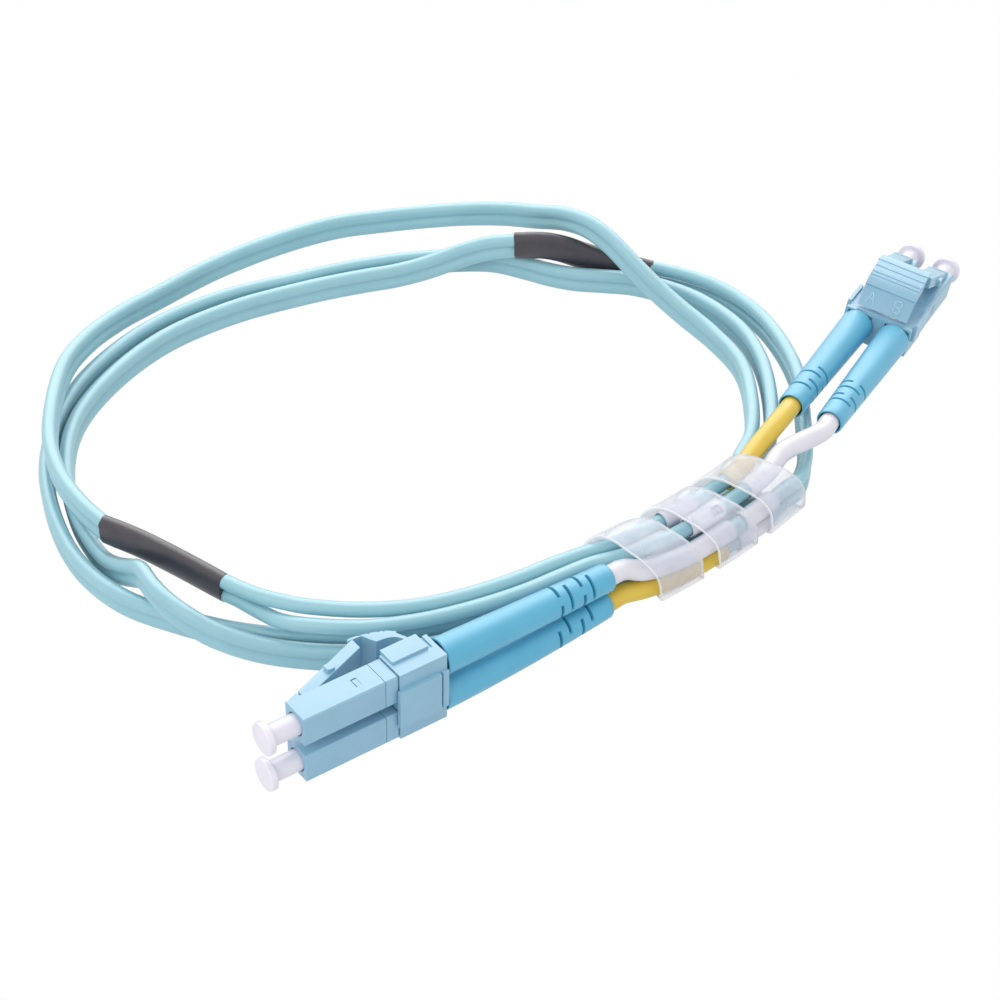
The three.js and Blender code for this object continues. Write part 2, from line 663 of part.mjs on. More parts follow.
const legs = {
  near_leg_a: [
    bundle(21.3, -3.3, 5.9), bundle(23.6, -3.3, 5.9), bundle(30.5, -3.3, 5.9),
    bundle(34, -3.0, 5.5), bundle(37, -2.9, 4.9), round(-7, 59.9, 4.2), round(2, 60.4, 3.75),
    round(14, 62.3, 3.7), round(25, 63.2, 3.7), round(32, 62.9, 3.7), round(37, 61.9, 3.75),
    round(42, 59.9, 3.85), round(45, 58.4, 3.95), round(47, 57.35, 4.05),
  ],
  near_leg_b: [
    bundle(20.3, -3.2, 2.6), bundle(22.6, -3.2, 2.6), bundle(30.5, -3.2, 2.6),
    bundle(34, -2.7, 2.5), bundle(37, -2.8, 1.9), round(-7, 59.9, 1.4), round(2, 60.4, 1.2),
    round(14, 62.3, 1.15), round(25, 63.2, 1.15), round(32, 62.9, 1.15), round(37, 61.9, 1.2),
    round(42, 59.9, 1.3), round(45, 58.4, 1.4), round(47, 57.35, 1.5),
  ],
  far_leg_a: [
    round(238, 45.1, 7.4 + stack), round(241, 45.2, 8.6), round(246, 45.2, 8.5),
    round(250, 44.9, 8.35), round(254, 44.4, 8.0), round(264, 43.2, 7.6), round(274, 42.0, 7.3),
    round(284, 40.8, 7.2), round(294, 40.0, 7.2), round(302, 39.8, 7.2),
    bundle(0, 4.3, 7.2), bundle(5, 3.4, 7.3), bundle(10, 3.1, 7.5),
    bundle(14, 3.0, 7.5), bundle(20, 3.0, 7.5), bundle(24, 3.1, 7.5),
    bundle(26.6, 3.1, 7.5),
  ],
  far_leg_b: [
    round(238, 45.1, 7.4 - stack), round(241, 45.2, 6.3), round(246, 45.8, 6.15),
    round(250, 46.6, 6.4), round(254, 46.9, 6.9), round(264, 46.0, 7.0), round(274, 44.6, 7.0),
    round(284, 43.3, 7.0), round(294, 42.5, 7.0), round(302, 42.3, 7.1),
    bundle(0, 1.8, 7.3), bundle(5, 0.6, 7.4), bundle(10, -0.1, 7.5),
    bundle(14, -0.3, 7.5), bundle(20, -0.3, 7.5), bundle(24, -0.3, 7.5),
    bundle(27.2, -0.3, 7.5),
  ],
};

const legSides = 8;
const legStep = 4.4;
for (const [name, route] of Object.entries(legs)) {
  const curve = smooth(route);
  const steps = Math.round(curve.getLength() / legStep);
  add(table, name, loft(sweptRings(curve, steps, roundSection(strand, legSides))), "jacket");
}

// Short printed label sleeves that the legs run through, by their place along the wrap.
const labels = {
  near_label_a: { from: 23.4, to: 29.8, across: -3.3, height: 5.9 },
  near_label_b: { from: 22.6, to: 29.0, across: -3.2, height: 2.6 },
  far_label_a: { from: 13.5, to: 19.5, across: 3.0, height: 7.5 },
  far_label_b: { from: 15.5, to: 21.8, across: -0.3, height: 7.5 },
};

for (const [name, label] of Object.entries(labels)) {
  const ends = [0, 0.25, 0.5, 0.75, 1].map((share) =>
    bundle(label.from + share * (label.to - label.from), label.across, label.height),
  );
  const curve = smooth(ends);
  const outer = sweptRings(curve, 4, roundSection(sleeve, sleeveSides));
  const inner = sweptRings(curve, 4, roundSection(labelBore, sleeveSides)).reverse();
  add(table, name, loft([...outer, ...inner], true), "sleeveWhite");
}

// ---- Heat-shrinks, zip cord and wrap ------------------------------------------------

const shrinkSection = ovalSection(shrink.width, shrink.height, 16);
const shrinkSteps = 7;
const shrinks = { near_heat_shrink: shrinkOne, far_heat_shrink: shrinkTwo };
for (const [name, route] of Object.entries(shrinks)) {
  add(table, name, loft(sweptRings(smooth(route), shrinkSteps, shrinkSection)), "shrinkBlack");
}

const zipCurve = smooth(stations);
zipCurve.arcLengthDivisions = 2000;
const zipSteps = 120;
const zipRings = sweptRings(zipCurve, zipSteps, zipSection());
add(table, "zip_cord_coil", loft(zipRings), "jacket");

// The least gap from the zip cord to itself, between the passes, on its sections' points.
const zipLength = zipCurve.getLength();
const stepLength = zipLength / zipSteps;
const ownStretch = Math.ceil(20 / stepLength);
const fine = sweptRings(zipCurve, zipSteps * 4, zipSection());
let leastGap = Infinity;
let leastPlace = fine[0][0];
for (let first = 0; first < fine.length; first++) {
  for (let second = first + ownStretch * 4; second < fine.length; second++) {
    if (fine[first][0].distanceTo(fine[second][0]) > 12) continue;
    for (const one of fine[first]) {
      for (const other of fine[second]) {
        const gap = one.distanceTo(other);
        if (gap >= leastGap) continue;
        leastGap = gap;
        leastPlace = one;
      }
    }
  }
}
const place = leastPlace.toArray().map((value) => value.toFixed(1));
console.log(`zip cord ${zipLength.toFixed(0)} mm, least gap to itself ${leastGap.toFixed(2)} mm`);
console.log(`that gap is at ${place.join(", ")} on the table`);

// A point of the wrap's rounded section, where share is 0 on the top and turns towards
// the outside of the coil.
function wrapPoint(along, share, inset) {
  const turn = share * 2 * Math.PI;
  const power = 2 / wrapSection.squareness;
  const bulge = (value) => Math.sign(value) * Math.abs(value) ** power;
  const wide = wrapSection.halfWidth - inset;
  const high = wrapSection.halfHeight - inset;
  const rise = wrapSection.middle + high * bulge(Math.cos(turn));
  return bundle(along, -wide * bulge(Math.sin(turn)), rise);
}

function wrapSolid() {
  const firstTurn = -0.32;
  const lastTurn = 2.47;
  const steps = 78;
  const taperTurns = 0.28;
  const rings = Array.from({ length: steps + 1 }, (_, step) => {
    const share = firstTurn + (step / steps) * (lastTurn - firstTurn);
    const taper = Math.min(1, (share - firstTurn) / taperTurns);
    const width = ribbon.tail + taper * (ribbon.width - ribbon.tail);
    const middle = wrapTop + share * ribbon.pitch;
    const before = middle - ribbon.width / 2;
    const after = before + width;
    return [
      wrapPoint(before, share, 0), wrapPoint(after, share, 0),
      wrapPoint(after, share, ribbon.thickness), wrapPoint(before, share, ribbon.thickness),
    ];
  });
  return loft(rings);
}
add(table, "spiral_wrap", wrapSolid(), "film");

const object = new THREE.Group();
object.add(table);

export default object;
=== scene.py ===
import math

import bmesh
import bpy
from mathutils import Matrix, Vector


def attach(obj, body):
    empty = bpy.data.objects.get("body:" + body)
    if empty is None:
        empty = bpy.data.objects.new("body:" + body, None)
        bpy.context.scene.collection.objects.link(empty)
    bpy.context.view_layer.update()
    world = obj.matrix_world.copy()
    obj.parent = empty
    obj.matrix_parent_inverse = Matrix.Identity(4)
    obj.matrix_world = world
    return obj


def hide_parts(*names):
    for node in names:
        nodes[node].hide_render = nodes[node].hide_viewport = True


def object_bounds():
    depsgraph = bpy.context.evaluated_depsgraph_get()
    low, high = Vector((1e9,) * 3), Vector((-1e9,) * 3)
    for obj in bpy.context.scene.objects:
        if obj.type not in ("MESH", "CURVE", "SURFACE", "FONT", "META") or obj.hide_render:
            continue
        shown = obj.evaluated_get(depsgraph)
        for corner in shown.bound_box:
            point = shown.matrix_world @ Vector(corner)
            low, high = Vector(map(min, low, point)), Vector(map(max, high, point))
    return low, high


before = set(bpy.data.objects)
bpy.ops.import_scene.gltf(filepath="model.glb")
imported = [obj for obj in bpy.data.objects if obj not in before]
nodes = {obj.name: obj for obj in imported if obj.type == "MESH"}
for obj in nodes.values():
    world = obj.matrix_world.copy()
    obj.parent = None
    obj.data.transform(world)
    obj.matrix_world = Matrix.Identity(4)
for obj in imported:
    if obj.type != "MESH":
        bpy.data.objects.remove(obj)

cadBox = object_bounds()
rootBody = "plugs_and_cord"

# Everything is worked out in millimetres on the table and turned to metres at the end.
home = Vector((22.74, 0.36, -0.1))  # the middle of the two plugs, as in the CAD part
metre = 0.001
tableToFrame = Matrix.Scale(metre, 4) @ Matrix.Translation(-home)


def frameSpot(x, y, z):
    return tableToFrame @ Vector((x, y, z))


camera = {
    "spot": (0.0, -233.7, 206.7),  # mm on the table
    "aim": (0.0, 0.0, 0.0),
    "lens": 75.6,
}
cameraData = bpy.data.cameras.new("camera")
cameraData.lens = camera["lens"]
cameraData.sensor_width = 36
cameraData.clip_start = 0.01
cameraData.clip_end = 20
cameraObject = bpy.data.objects.new("camera", cameraData)
bpy.context.scene.collection.objects.link(cameraObject)
cameraObject.location = frameSpot(*camera["spot"])
sight = frameSpot(*camera["aim"]) - cameraObject.location
cameraObject.rotation_euler = sight.to_track_quat("-Z", "Y").to_euler()
bpy.context.scene.camera = cameraObject
print("camera placed")


def smoothLine(points, spacing, samples=24):
    # centripetal Catmull-Rom through the points, then evenly spaced
    stops = [Vector(p) for p in points]
    stops = [2 * stops[0] - stops[1]] + stops + [2 * stops[-1] - stops[-2]]
    fine = []
    for i in range(1, len(stops) - 2):
        p0, p1, p2, p3 = stops[i - 1:i + 3]
        d0, d1, d2 = [max((b - a).length, 1e-4) ** 0.5 for a, b in ((p0, p1), (p1, p2), (p2, p3))]
        t1 = ((p1 - p0) / d0 - (p2 - p0) / (d0 + d1) + (p2 - p1) / d1) * d1
        t2 = ((p2 - p1) / d1 - (p3 - p1) / (d1 + d2) + (p3 - p2) / d2) * d1
        for step in range(samples):
            t = step / samples
            fine.append(p1 + t1 * t + (3 * (p2 - p1) - 2 * t1 - t2) * t ** 2
                        + (2 * (p1 - p2) + t1 + t2) * t ** 3)
    fine.append(stops[-2])
    return evenly(fine, spacing)


def lineLength(line):
    return sum((b - a).length for a, b in zip(line, line[1:]))


def evenly(line, spacing):
    total = lineLength(line)
    count = max(2, round(total / spacing))
    out = [line[0].copy()]
    travelled = 0.0
    at = 0
    for step in range(1, count):
        goal = total * step / count
        while travelled + (line[at + 1] - line[at]).length < goal:
            travelled += (line[at + 1] - line[at]).length
            at += 1
        share = (goal - travelled) / (line[at + 1] - line[at]).length
        out.append(line[at].lerp(line[at + 1], share))
    out.append(line[-1].copy())
    return out


def uprightRings(line, sectionAt):
    # rings of (across, up) points round a line, kept upright
    rings = []
    for i, spot in enumerate(line):
        ahead = (line[min(i + 1, len(line) - 1)] - line[max(i - 1, 0)]).normalized()
        across = Vector((0, 0, 1)).cross(ahead).normalized()
        up = ahead.cross(across)
        section = sectionAt(i / (len(line) - 1))
        rings.append([spot + across * side + up * rise for side, rise in section])
    return rings


def circle(radius, sides, middle=(0, 0)):
    return [(middle[0] + radius * math.cos(2 * math.pi * k / sides),
             middle[1] + radius * math.sin(2 * math.pi * k / sides)) for k in range(sides)]


def linear(colour):
    # sRGB hex to the linear colour that a shader reads
    parts = [int(colour[i:i + 2], 16) / 255 for i in (1, 3, 5)]
    return [p / 12.92 if p <= 0.04045 else ((p + 0.055) / 1.055) ** 2.4 for p in parts] + [1.0]


def addNode(tree, kind, inputs, **settings):
    node = tree.nodes.new(kind)
    for name, value in settings.items():
        setattr(node, name, value)
    for socket, value in inputs.items():
        if isinstance(value, bpy.types.NodeSocket):
            tree.links.new(value, node.inputs[socket])
        else:
            node.inputs[socket].default_value = value
    return node


def newMaterial(name):
    material = bpy.data.materials.new(name)
    material.use_nodes = True
    material.node_tree.nodes.clear()
    return material


def noise(tree, sizeMm, detail, roughness=0.5):
    # noise fixed to the piece, with blotches of about that many mm
    place = addNode(tree, "ShaderNodeTexCoord", {})
    texture = addNode(tree, "ShaderNodeTexNoise", {
        "Vector": place.outputs["Object"], "Scale": 1 / (sizeMm * metre),
        "Detail": detail, "Roughness": roughness})
    return texture.outputs["Fac"]


def spread(tree, value, least, most, edges=(0.3, 0.7)):
    # the range in which a noise varies, stretched from least to most
    stretched = addNode(tree, "ShaderNodeMapRange", {
        "Value": value, "From Min": edges[0], "From Max": edges[1],
        "To Min": least, "To Max": most})
    return stretched.outputs["Result"]


def polymer(name, look):
    # One moulded or extruded plastic: cloudy colour, fine grain, soft gloss.
    material = newMaterial(name)
    tree = material.node_tree
    cloud = noise(tree, look["cloudMm"], 3.0, 0.55)
    colour = addNode(tree, "ShaderNodeMix", {
        "Factor": spread(tree, cloud, 0.0, 1.0), "A": linear(look["colour"]),
        "B": linear(look["shade"])}, data_type="RGBA")
    grain = noise(tree, look["grainMm"], 2.0, 0.6)
    smoothest, roughest = [look["roughness"] + change for change in grainGloss]
    bump = addNode(tree, "ShaderNodeBump", {
        "Height": grain, "Distance": look["grainDeepMm"] * metre, "Strength": 1.0})
    shader = addNode(tree, "ShaderNodeBsdfPrincipled", {
        "Base Color": colour.outputs["Result"], "IOR": look["ior"],
        "Roughness": spread(tree, grain, smoothest, roughest), "Normal": bump.outputs["Normal"],
        "Subsurface Weight": look.get("scatter", 0.0), "Subsurface Radius": (1.0, 1.0, 1.0),
        "Subsurface Scale": look.get("scatterMm", 1.0) * metre,
        "Coat Weight": look.get("skin", 0.0),
        "Coat Roughness": look.get("skinRoughness", 0.2)})
    addNode(tree, "ShaderNodeOutputMaterial", {"Surface": shader.outputs["BSDF"]})
    return material


def film(name, look):
    # Thin milky plastic: partly see-through, the rest a smooth white sheet.
    material = newMaterial(name)
    tree = material.node_tree
    cloud = noise(tree, look["cloudMm"], 2.0)
    opaque = spread(tree, cloud, look["opaque"] - look["change"], look["opaque"] + look["change"])
    clear = addNode(tree, "ShaderNodeBsdfTransparent", {"Color": (1, 1, 1, 1)})
    sheet = addNode(tree, "ShaderNodeBsdfPrincipled", {
        "Base Color": linear(look["colour"]), "Roughness": look["roughness"], "IOR": 1.5})
    mixed = addNode(tree, "ShaderNodeMixShader", {
        0: opaque, 1: clear.outputs[0], 2: sheet.outputs[0]})
    addNode(tree, "ShaderNodeOutputMaterial", {"Surface": mixed.outputs[0]})
    return material


def metal(name, look):
    # Plated or drawn metal with fine tool marks.
    material = newMaterial(name)
    tree = material.node_tree
    marks = noise(tree, look["marksMm"], 4.0)
    gloss = spread(tree, marks, look["roughness"] - look["change"],
                   look["roughness"] + look["change"], (0.0, 1.0))
    bump = addNode(tree, "ShaderNodeBump", {
        "Height": marks, "Distance": look["marksDeepMm"] * metre, "Strength": 0.6})
    shader = addNode(tree, "ShaderNodeBsdfPrincipled", {
        "Base Color": linear(look["colour"]), "Metallic": 1.0, "Roughness": gloss,
        "Normal": bump.outputs["Normal"]})
    addNode(tree, "ShaderNodeOutputMaterial", {"Surface": shader.outputs["BSDF"]})
    return material


grainGloss = (-0.05, 0.06)  # how far a plastic's grain moves its roughness down and up
# Extruded low-smoke jacket: even satin aqua with a faint orange peel from the die.
extrudedJacket = polymer("extrudedJacket", {
    "colour": "#9ACBD7", "shade": "#92C5D1", "cloudMm": 9, "grainMm": 0.5, "grainDeepMm": 0.012,
    "roughness": 0.46, "ior": 1.5, "skin": 0.6, "skinRoughness": 0.4})
# Injection-moulded PBT: paler, slightly milky, so its edges catch a thin light line.
mouldedPbt = polymer("mouldedPbt", {
    "colour": "#90BED6", "shade": "#8AB9D1", "cloudMm": 5, "grainMm": 0.25, "grainDeepMm": 0.004,
    "roughness": 0.46, "ior": 1.53, "scatter": 0.08, "scatterMm": 0.4, "skin": 0.5,
    "skinRoughness": 0.4})
# The moulded letters' tops: the same PBT, polished smoother by the mould, with a painted
# highlight: a lighter colour for the light the raised strokes catch.
letterHighlightPbt = polymer("letterHighlightPbt", {
    "colour": "#BFE2F0", "shade": "#B9DDEC", "cloudMm": 5, "grainMm": 0.25, "grainDeepMm": 0.002,
    "roughness": 0.36, "ior": 1.53})
# Moulded TPE boot: deeper blue and softer, with a broad dull sheen.
mouldedTpe = polymer("mouldedTpe", {
    "colour": "#58B5D7", "shade": "#51AED1", "cloudMm": 6, "grainMm": 0.35, "grainDeepMm": 0.006,
    "roughness": 0.5, "ior": 1.5, "skin": 0.7, "skinRoughness": 0.46})
# The same rubber with painted shade: a darker colour inside its slots and bore, where hardly any
# light gets in.
paintedShadeTpe = polymer("paintedShadeTpe", {
    "colour": "#2E7F99", "shade": "#27748D", "cloudMm": 6, "grainMm": 0.35, "grainDeepMm": 0.006,
    "roughness": 0.7, "ior": 1.4})
# Moulded LDPE cap: milky white with a lilac cast, waxy, light goes a little way in.
mouldedLdpe = polymer("mouldedLdpe", {
    "colour": "#F0EDF6", "shade": "#E9E5F1", "cloudMm": 3, "grainMm": 0.3, "grainDeepMm": 0.004,
    "roughness": 0.38, "ior": 1.51, "scatter": 0.25, "scatterMm": 0.6})
# Recovered polyolefin heat-shrink: near black with a warm grey bloom where it stretched.
shrunkPolyolefin = polymer("shrunkPolyolefin", {
    "colour": "#2B2731", "shade": "#38333D", "cloudMm": 2.2, "grainMm": 0.35, "grainDeepMm": 0.015,
    "roughness": 0.5, "ior": 1.5, "skin": 0.6, "skinRoughness": 0.42})
# Extruded PVC sleeve in yellow: smooth and bright with a soft gloss.
yellowPvc = polymer("yellowPvc", {
    "colour": "#E9C94C", "shade": "#E2C146", "cloudMm": 5, "grainMm": 0.4, "grainDeepMm": 0.006,
    "roughness": 0.36, "ior": 1.53, "scatter": 0.05, "scatterMm": 0.3})
# Extruded PVC sleeve in white: smooth and cold with the same soft gloss.
whitePvc = polymer("whitePvc", {
    "colour": "#ECEAF2", "shade": "#E4E2EC", "cloudMm": 5, "grainMm": 0.4, "grainDeepMm": 0.006,
    "roughness": 0.36, "ior": 1.53, "scatter": 0.05, "scatterMm": 0.3})
# Cut polyethylene film, half a millimetre thick: milky, so what it holds shows faintly through.
frostedPolyethylene = film("frostedPolyethylene", {
    "colour": "#E8ECF8", "opaque": 0.33, "roughness": 0.24, "cloudMm": 3.0, "change": 0.05})
# The same film seen on its cut edge, made denser there, and brighter as painted light where the
# light piles up.
cutFilmEdge = film("cutFilmEdge", {
    "colour": "#FAFBFE", "opaque": 0.8, "roughness": 0.3, "cloudMm": 3.0, "change": 0.05})
# Ground zirconia: cold white and glassy.
groundZirconia = polymer("groundZirconia", {
    "colour": "#F3F3F0", "shade": "#ECECEA", "cloudMm": 2, "grainMm": 0.1, "grainDeepMm": 0.0005,
    "roughness": 0.12, "ior": 2.1})
# Nickel-plated brass, turned: warm grey with fine tool marks.
platedBrass = metal("platedBrass", {
    "colour": "#C6C2B8", "roughness": 0.28, "change": 0.08, "marksMm": 0.08, "marksDeepMm": 0.004})
# Drawn stainless spring wire: cool grey with a soft shine.
drawnSteel = metal("drawnSteel", {
    "colour": "#BFC2C6", "roughness": 0.3, "change": 0.08, "marksMm": 0.1, "marksDeepMm": 0.004})
print("materials made")


def showMesh(name, mesh, materials, sharp):
    # a mesh as an object, smooth but for edges that turn by more degrees than sharp
    for material in materials:
        mesh.materials.append(material)
    mesh.shade_smooth()
    mesh.set_sharp_from_angle(angle=math.radians(sharp))
    piece = bpy.data.objects.new(name, mesh)
    bpy.context.scene.collection.objects.link(piece)
    return piece


def makePiece(name, points, faces, material, matrix=tableToFrame, sharp=40):
    mesh = bpy.data.meshes.new(name)
    mesh.from_pydata([matrix @ Vector(p) for p in points], [], faces)
    mesh.validate()
    shape = bmesh.new()
    shape.from_mesh(mesh)
    bmesh.ops.recalc_face_normals(shape, faces=shape.faces)
    shape.to_mesh(mesh)
    shape.free()
    return showMesh(name, mesh, [material], sharp)


def skin(rings, loop=False):
    # points and faces of a surface through rings, closed at its ends unless it loops
    sides = len(rings[0])
    points = [p for ring in rings for p in ring]
    faces = []
    for r in range(len(rings) if loop else len(rings) - 1):
        q = (r + 1) % len(rings)
        faces += [(r * sides + k, r * sides + (k + 1) % sides,
                   q * sides + (k + 1) % sides, q * sides + k) for k in range(sides)]
    if not loop:
        faces.append(tuple(reversed(range(sides))))
        faces.append(tuple((len(rings) - 1) * sides + k for k in range(sides)))
    return points, faces


def standFor(piece, node, body=rootBody):
    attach(piece, body)
    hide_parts(node)


# Where the cords run. Their stations are the CAD part's.
coilMiddle = Vector((-14, 12, 0))
wrapStops = [Vector((13.6, -23.2, 0)), Vector((31.0, -12.2, 0)), Vector((42.6, 2.2, 0))]
curveSteps = 400
wrapCurve = [wrapStops[0] * (1 - t) ** 2 + wrapStops[1] * 2 * t * (1 - t) + wrapStops[2] * t ** 2
             for t in [k / curveSteps for k in range(curveSteps + 1)]]
wrapLine = evenly(wrapCurve, 0.1)
wrapLength = lineLength(wrapLine)
# Heights of the zip cord's middle.
low = 2.25  # on the table
over = 7.15  # on another turn
inWrap = 3.0


def around(angle, radius, height):
    # degrees round the coil, mm from its middle, and up
    turn = math.radians(angle)
    return coilMiddle + Vector((radius * math.cos(turn), radius * math.sin(turn), height))


def bundle(along, across, height):
    # mm along the wrap, across it towards the coil, and up
    within = min(max(along, 0), wrapLength)
    reached = within / wrapLength * (len(wrapLine) - 1)
    k = min(int(reached), len(wrapLine) - 2)
    heading = (wrapLine[k + 1] - wrapLine[k]).normalized()
    spot = wrapLine[k].lerp(wrapLine[k + 1], reached - k)
    spot = spot + heading * (along - within)
    return spot + Vector((-heading.y * across, heading.x * across, height))


def inBundle(*stops):
    return [bundle(*stop) for stop in stops]


def onCoil(*stops):
    return [around(*stop) for stop in stops]


# The zip cord's stretches round the coil, as (angle, radius, height).
passes = [
    [(74, 45.4, 6.8), (78, 44.7, 5.8), (82, 44.1, 4.6), (88, 42.9, 3.2), (95, 41.9, 2.4),
     (101, 41.5, low), (109, 41.2, low), (117, 41.4, low), (133, 43.4, low), (149, 46.4, low),
     (164, 48.9, low), (177, 50.9, low), (189, 51.3, low), (202, 51.1, low), (209, 50.9, low),
     (214, 50.7, 2.4), (218, 50.3, 3.5), (222, 49.9, 5.3), (225, 50.1, 6.9), (229, 51.1, over),
     (233, 51.9, over), (237, 52.0, 6.4), (241, 51.4, 5.0), (247, 49.8, 3.2), (254, 48.2, low),
     (264, 47.0, low), (274, 45.8, low), (284, 44.6, low), (294, 43.8, low), (302, 43.5, low)],
    [(9, 56.6, low), (19, 58.3, low), (27, 58.8, low), (37, 57.4, low), (47, 54.0, low),
     (52, 51.3, low), (57, 48.9, low), (62, 47.9, low), (68, 47.9, low), (75, 48.1, low),
     (88, 46.0, low), (102, 44.6, low), (117, 44.4, low), (133, 47.0, low), (149, 50.1, low),
     (165, 52.6, low), (177, 53.7, low), (189, 54.2, low), (202, 54.1, low), (213, 53.9, low),
     (223, 52.6, low), (232, 50.2, low), (240, 48.4, low), (247, 46.9, low), (254, 45.4, low),
     (264, 44.2, low), (274, 43.0, low), (284, 41.8, low), (294, 41.0, low), (302, 40.7, low)],
    [(8, 53.4, low), (18, 54.7, low), (27, 54.0, 2.6), (34, 52.6, 3.8), (40, 51.8, 5.4),
     (46, 51.5, 7.6), (52, 51.9, 9.8), (57, 52.4, 10.8), (62, 53.0, 10.4), (68, 53.8, 8.8),
     (75, 56.2, 6.4), (82, 57.8, 4.4), (89, 58.5, 3.0), (96, 58.6, low), (104, 58.1, low),
     (114, 56.8, low), (127, 55.7, low), (140, 55.0, 2.7), (150, 54.8, 4.2), (160, 54.5, 6.0),
     (170, 54.1, over), (187, 53.1, over), (197, 52.1, over), (206, 50.6, 7.3)],
]
# Its two runs through the wrap, as (along, across, height).
runs = [
    [(0, 1.5, 2.6), (4, 0.7, inWrap), (8, 0, inWrap), (14, -0.2, inWrap), (20, -0.2, inWrap),
     (26, -0.1, inWrap), (29.5, 0.4, inWrap), (33, 1.8, 2.7), (36.5, 3.9, low)],
    [(0, 4.2, 2.6), (4, 3.4, inWrap), (8, 2.7, inWrap), (14, 2.5, inWrap), (20, 2.5, inWrap),
     (26, 2.7, inWrap), (29.5, 3.2, inWrap), (33, 4.9, 2.7), (36.5, 7.3, low)],
]
runEnds = [around(-1, 54.9, low), around(-1, 52.0, low)]
zipStops = [around(69.3, 46.6, 7.2)]  # the end in the near heat-shrink
for index, stops in enumerate(passes):
    zipStops += onCoil(*stops)
    if index < len(runs):
        zipStops += inBundle(*runs[index]) + [runEnds[index]]
zipStops.append(around(212.7, 49.4, 7.45))  # the end in the far heat-shrink

zipCord = {"strand": 2.2, "creaseAngle": 58, "lobePoints": 15, "spacing": 1.1}


def zipSection(share):
    # two strands one above the other, with the crease between them
    radius = zipCord["strand"] / 2
    crease = math.radians(zipCord["creaseAngle"])
    lobe = []
    for k in range(zipCord["lobePoints"]):
        turn = -crease + k / (zipCord["lobePoints"] - 1) * (math.pi + 2 * crease)
        lobe.append((radius * math.cos(turn), radius * (1 + math.sin(turn))))
    return lobe + [(-side, -rise) for side, rise in lobe]


zipLine = smoothLine(zipStops, zipCord["spacing"])
zipPiece = makePiece("zipCord", *skin(uprightRings(zipLine, zipSection)), extrudedJacket, sharp=60)
standFor(zipPiece, "zip_cord_coil")
print("zip cord", round(lineLength(zipLine)), "mm")

# Where the plugs lie on the table, in mm and degrees.
plugPlaces = {
    "near": {"place": (-25.86, -54.48, 7.21), "yaw": 216.1, "pitch": 3.2, "roll": 92.6},
    "far": {"place": (69.91, 53.05, 3.15), "yaw": 61.6, "pitch": -6.6, "roll": 6.1},
}
# How far each boot's end has bent sideways and up, in mm.
bootBends = {"near": {"a": (0.2, 0.0), "b": (1.7, 0.0)},
             "far": {"a": (0.0, 0.0), "b": (0.0, 0.0)}}
channelSide = {"a": 1, "b": -1}
channelPitch = 6.25
boot = {"front": 22.0, "end": 50.2, "base": 2.65, "tip": 2.05, "gap": 0.02,
        "slots": (3.8, 5.4, 7.6, 9.3), "slotDeep": 0.42, "slotHalf": 0.2, "flank": 0.06,
        "slotEnd": 4, "frontRim": 0.15, "frontDrop": 0.14, "endRim": 0.25, "endDrop": 0.12,
        "sides": 90, "plainRings": 15, "ringStep": 1.1, "endRings": (2.2, 1.1, 0.25, 0.06, 0)}
# The boot's bore from its end to its front, as (behind the front, radius).
bootBore = [(50.18, 1.78), (50.05, 1.7), (40, 1.7), (28, 1.7), (27.5, 2.25), (22.02, 2.25)]
# Each boot has turned by itself: its slots' middle and half width in degrees round the boot,
# for the first and third slot from the end, then for the second and fourth.
bootSlots = {"near": {"a": ((128, 56), (39, 74)), "b": ((165, 60), (75, 60))},
             "far": {"a": ((63, 70), (153, 58)), "b": ((82, 57), (9, 74))}}


def turned(degrees, axis):
    return Matrix.Rotation(math.radians(degrees), 4, axis)


plugToTable = {side: Matrix.Translation(at["place"]) @ turned(at["yaw"], "Z")
               @ turned(-at["pitch"], "Y") @ turned(at["roll"], "X")
               for side, at in plugPlaces.items()}
plugToFrame = {side: tableToFrame @ matrix for side, matrix in plugToTable.items()}


def bootMiddle(side, letter, back):
    # the middle of a boot at a distance behind the front, on the plug's own axes
    share = max(0.0, (back - boot["front"]) / (boot["end"] - boot["front"]))
    aside, rise = bootBends[side][letter]
    return Vector((-back, channelSide[letter] * channelPitch / 2 + aside * share ** 2,
                   rise * share ** 2))


def behindFront(side, letter, back):
    return plugToTable[side] @ bootMiddle(side, letter, back)


tubes = {"leg": 1.1, "sleeve": 1.5, "sleeveBore": 1.25, "sides": 32, "spacing": 0.9,
         "inBoot": (-3.2, 0.4, 2.8), "labelSteps": 8}
# Each sleeve's plug, channel, material, slot and stops in the wrap.
sleeveRoutes = {
    "near_white_sleeve": ("near", "a", whitePvc, "white_sleeve",
                          [(6, -2.6, 6.5), (10, -3.1, 6.1), (14, -3.3, 5.9), (18.5, -3.3, 5.9),
                           (21, -3.3, 5.9)]),
    "near_yellow_sleeve": ("near", "b", yellowPvc, "yellow_sleeve",
                           [(6, -2.6, 3.0), (10, -3.0, 2.7), (14, -3.2, 2.6), (17.5, -3.2, 2.6),
                            (20, -3.2, 2.6)]),
    "far_yellow_sleeve": ("far", "a", yellowPvc, "yellow_sleeve",
                          [(36, 3.8, 8.5), (32.5, 3.4, 7.9), (29.5, 3.15, 7.6), (27, 3.1, 7.5)]),
    "far_white_sleeve": ("far", "b", whitePvc, "white_sleeve",
                         [(37, 0.4, 8.2), (33, -0.2, 7.7), (29.5, -0.3, 7.5), (27.5, -0.3, 7.5)]),
}
stack = 1.25  # half the distance between two stacked legs
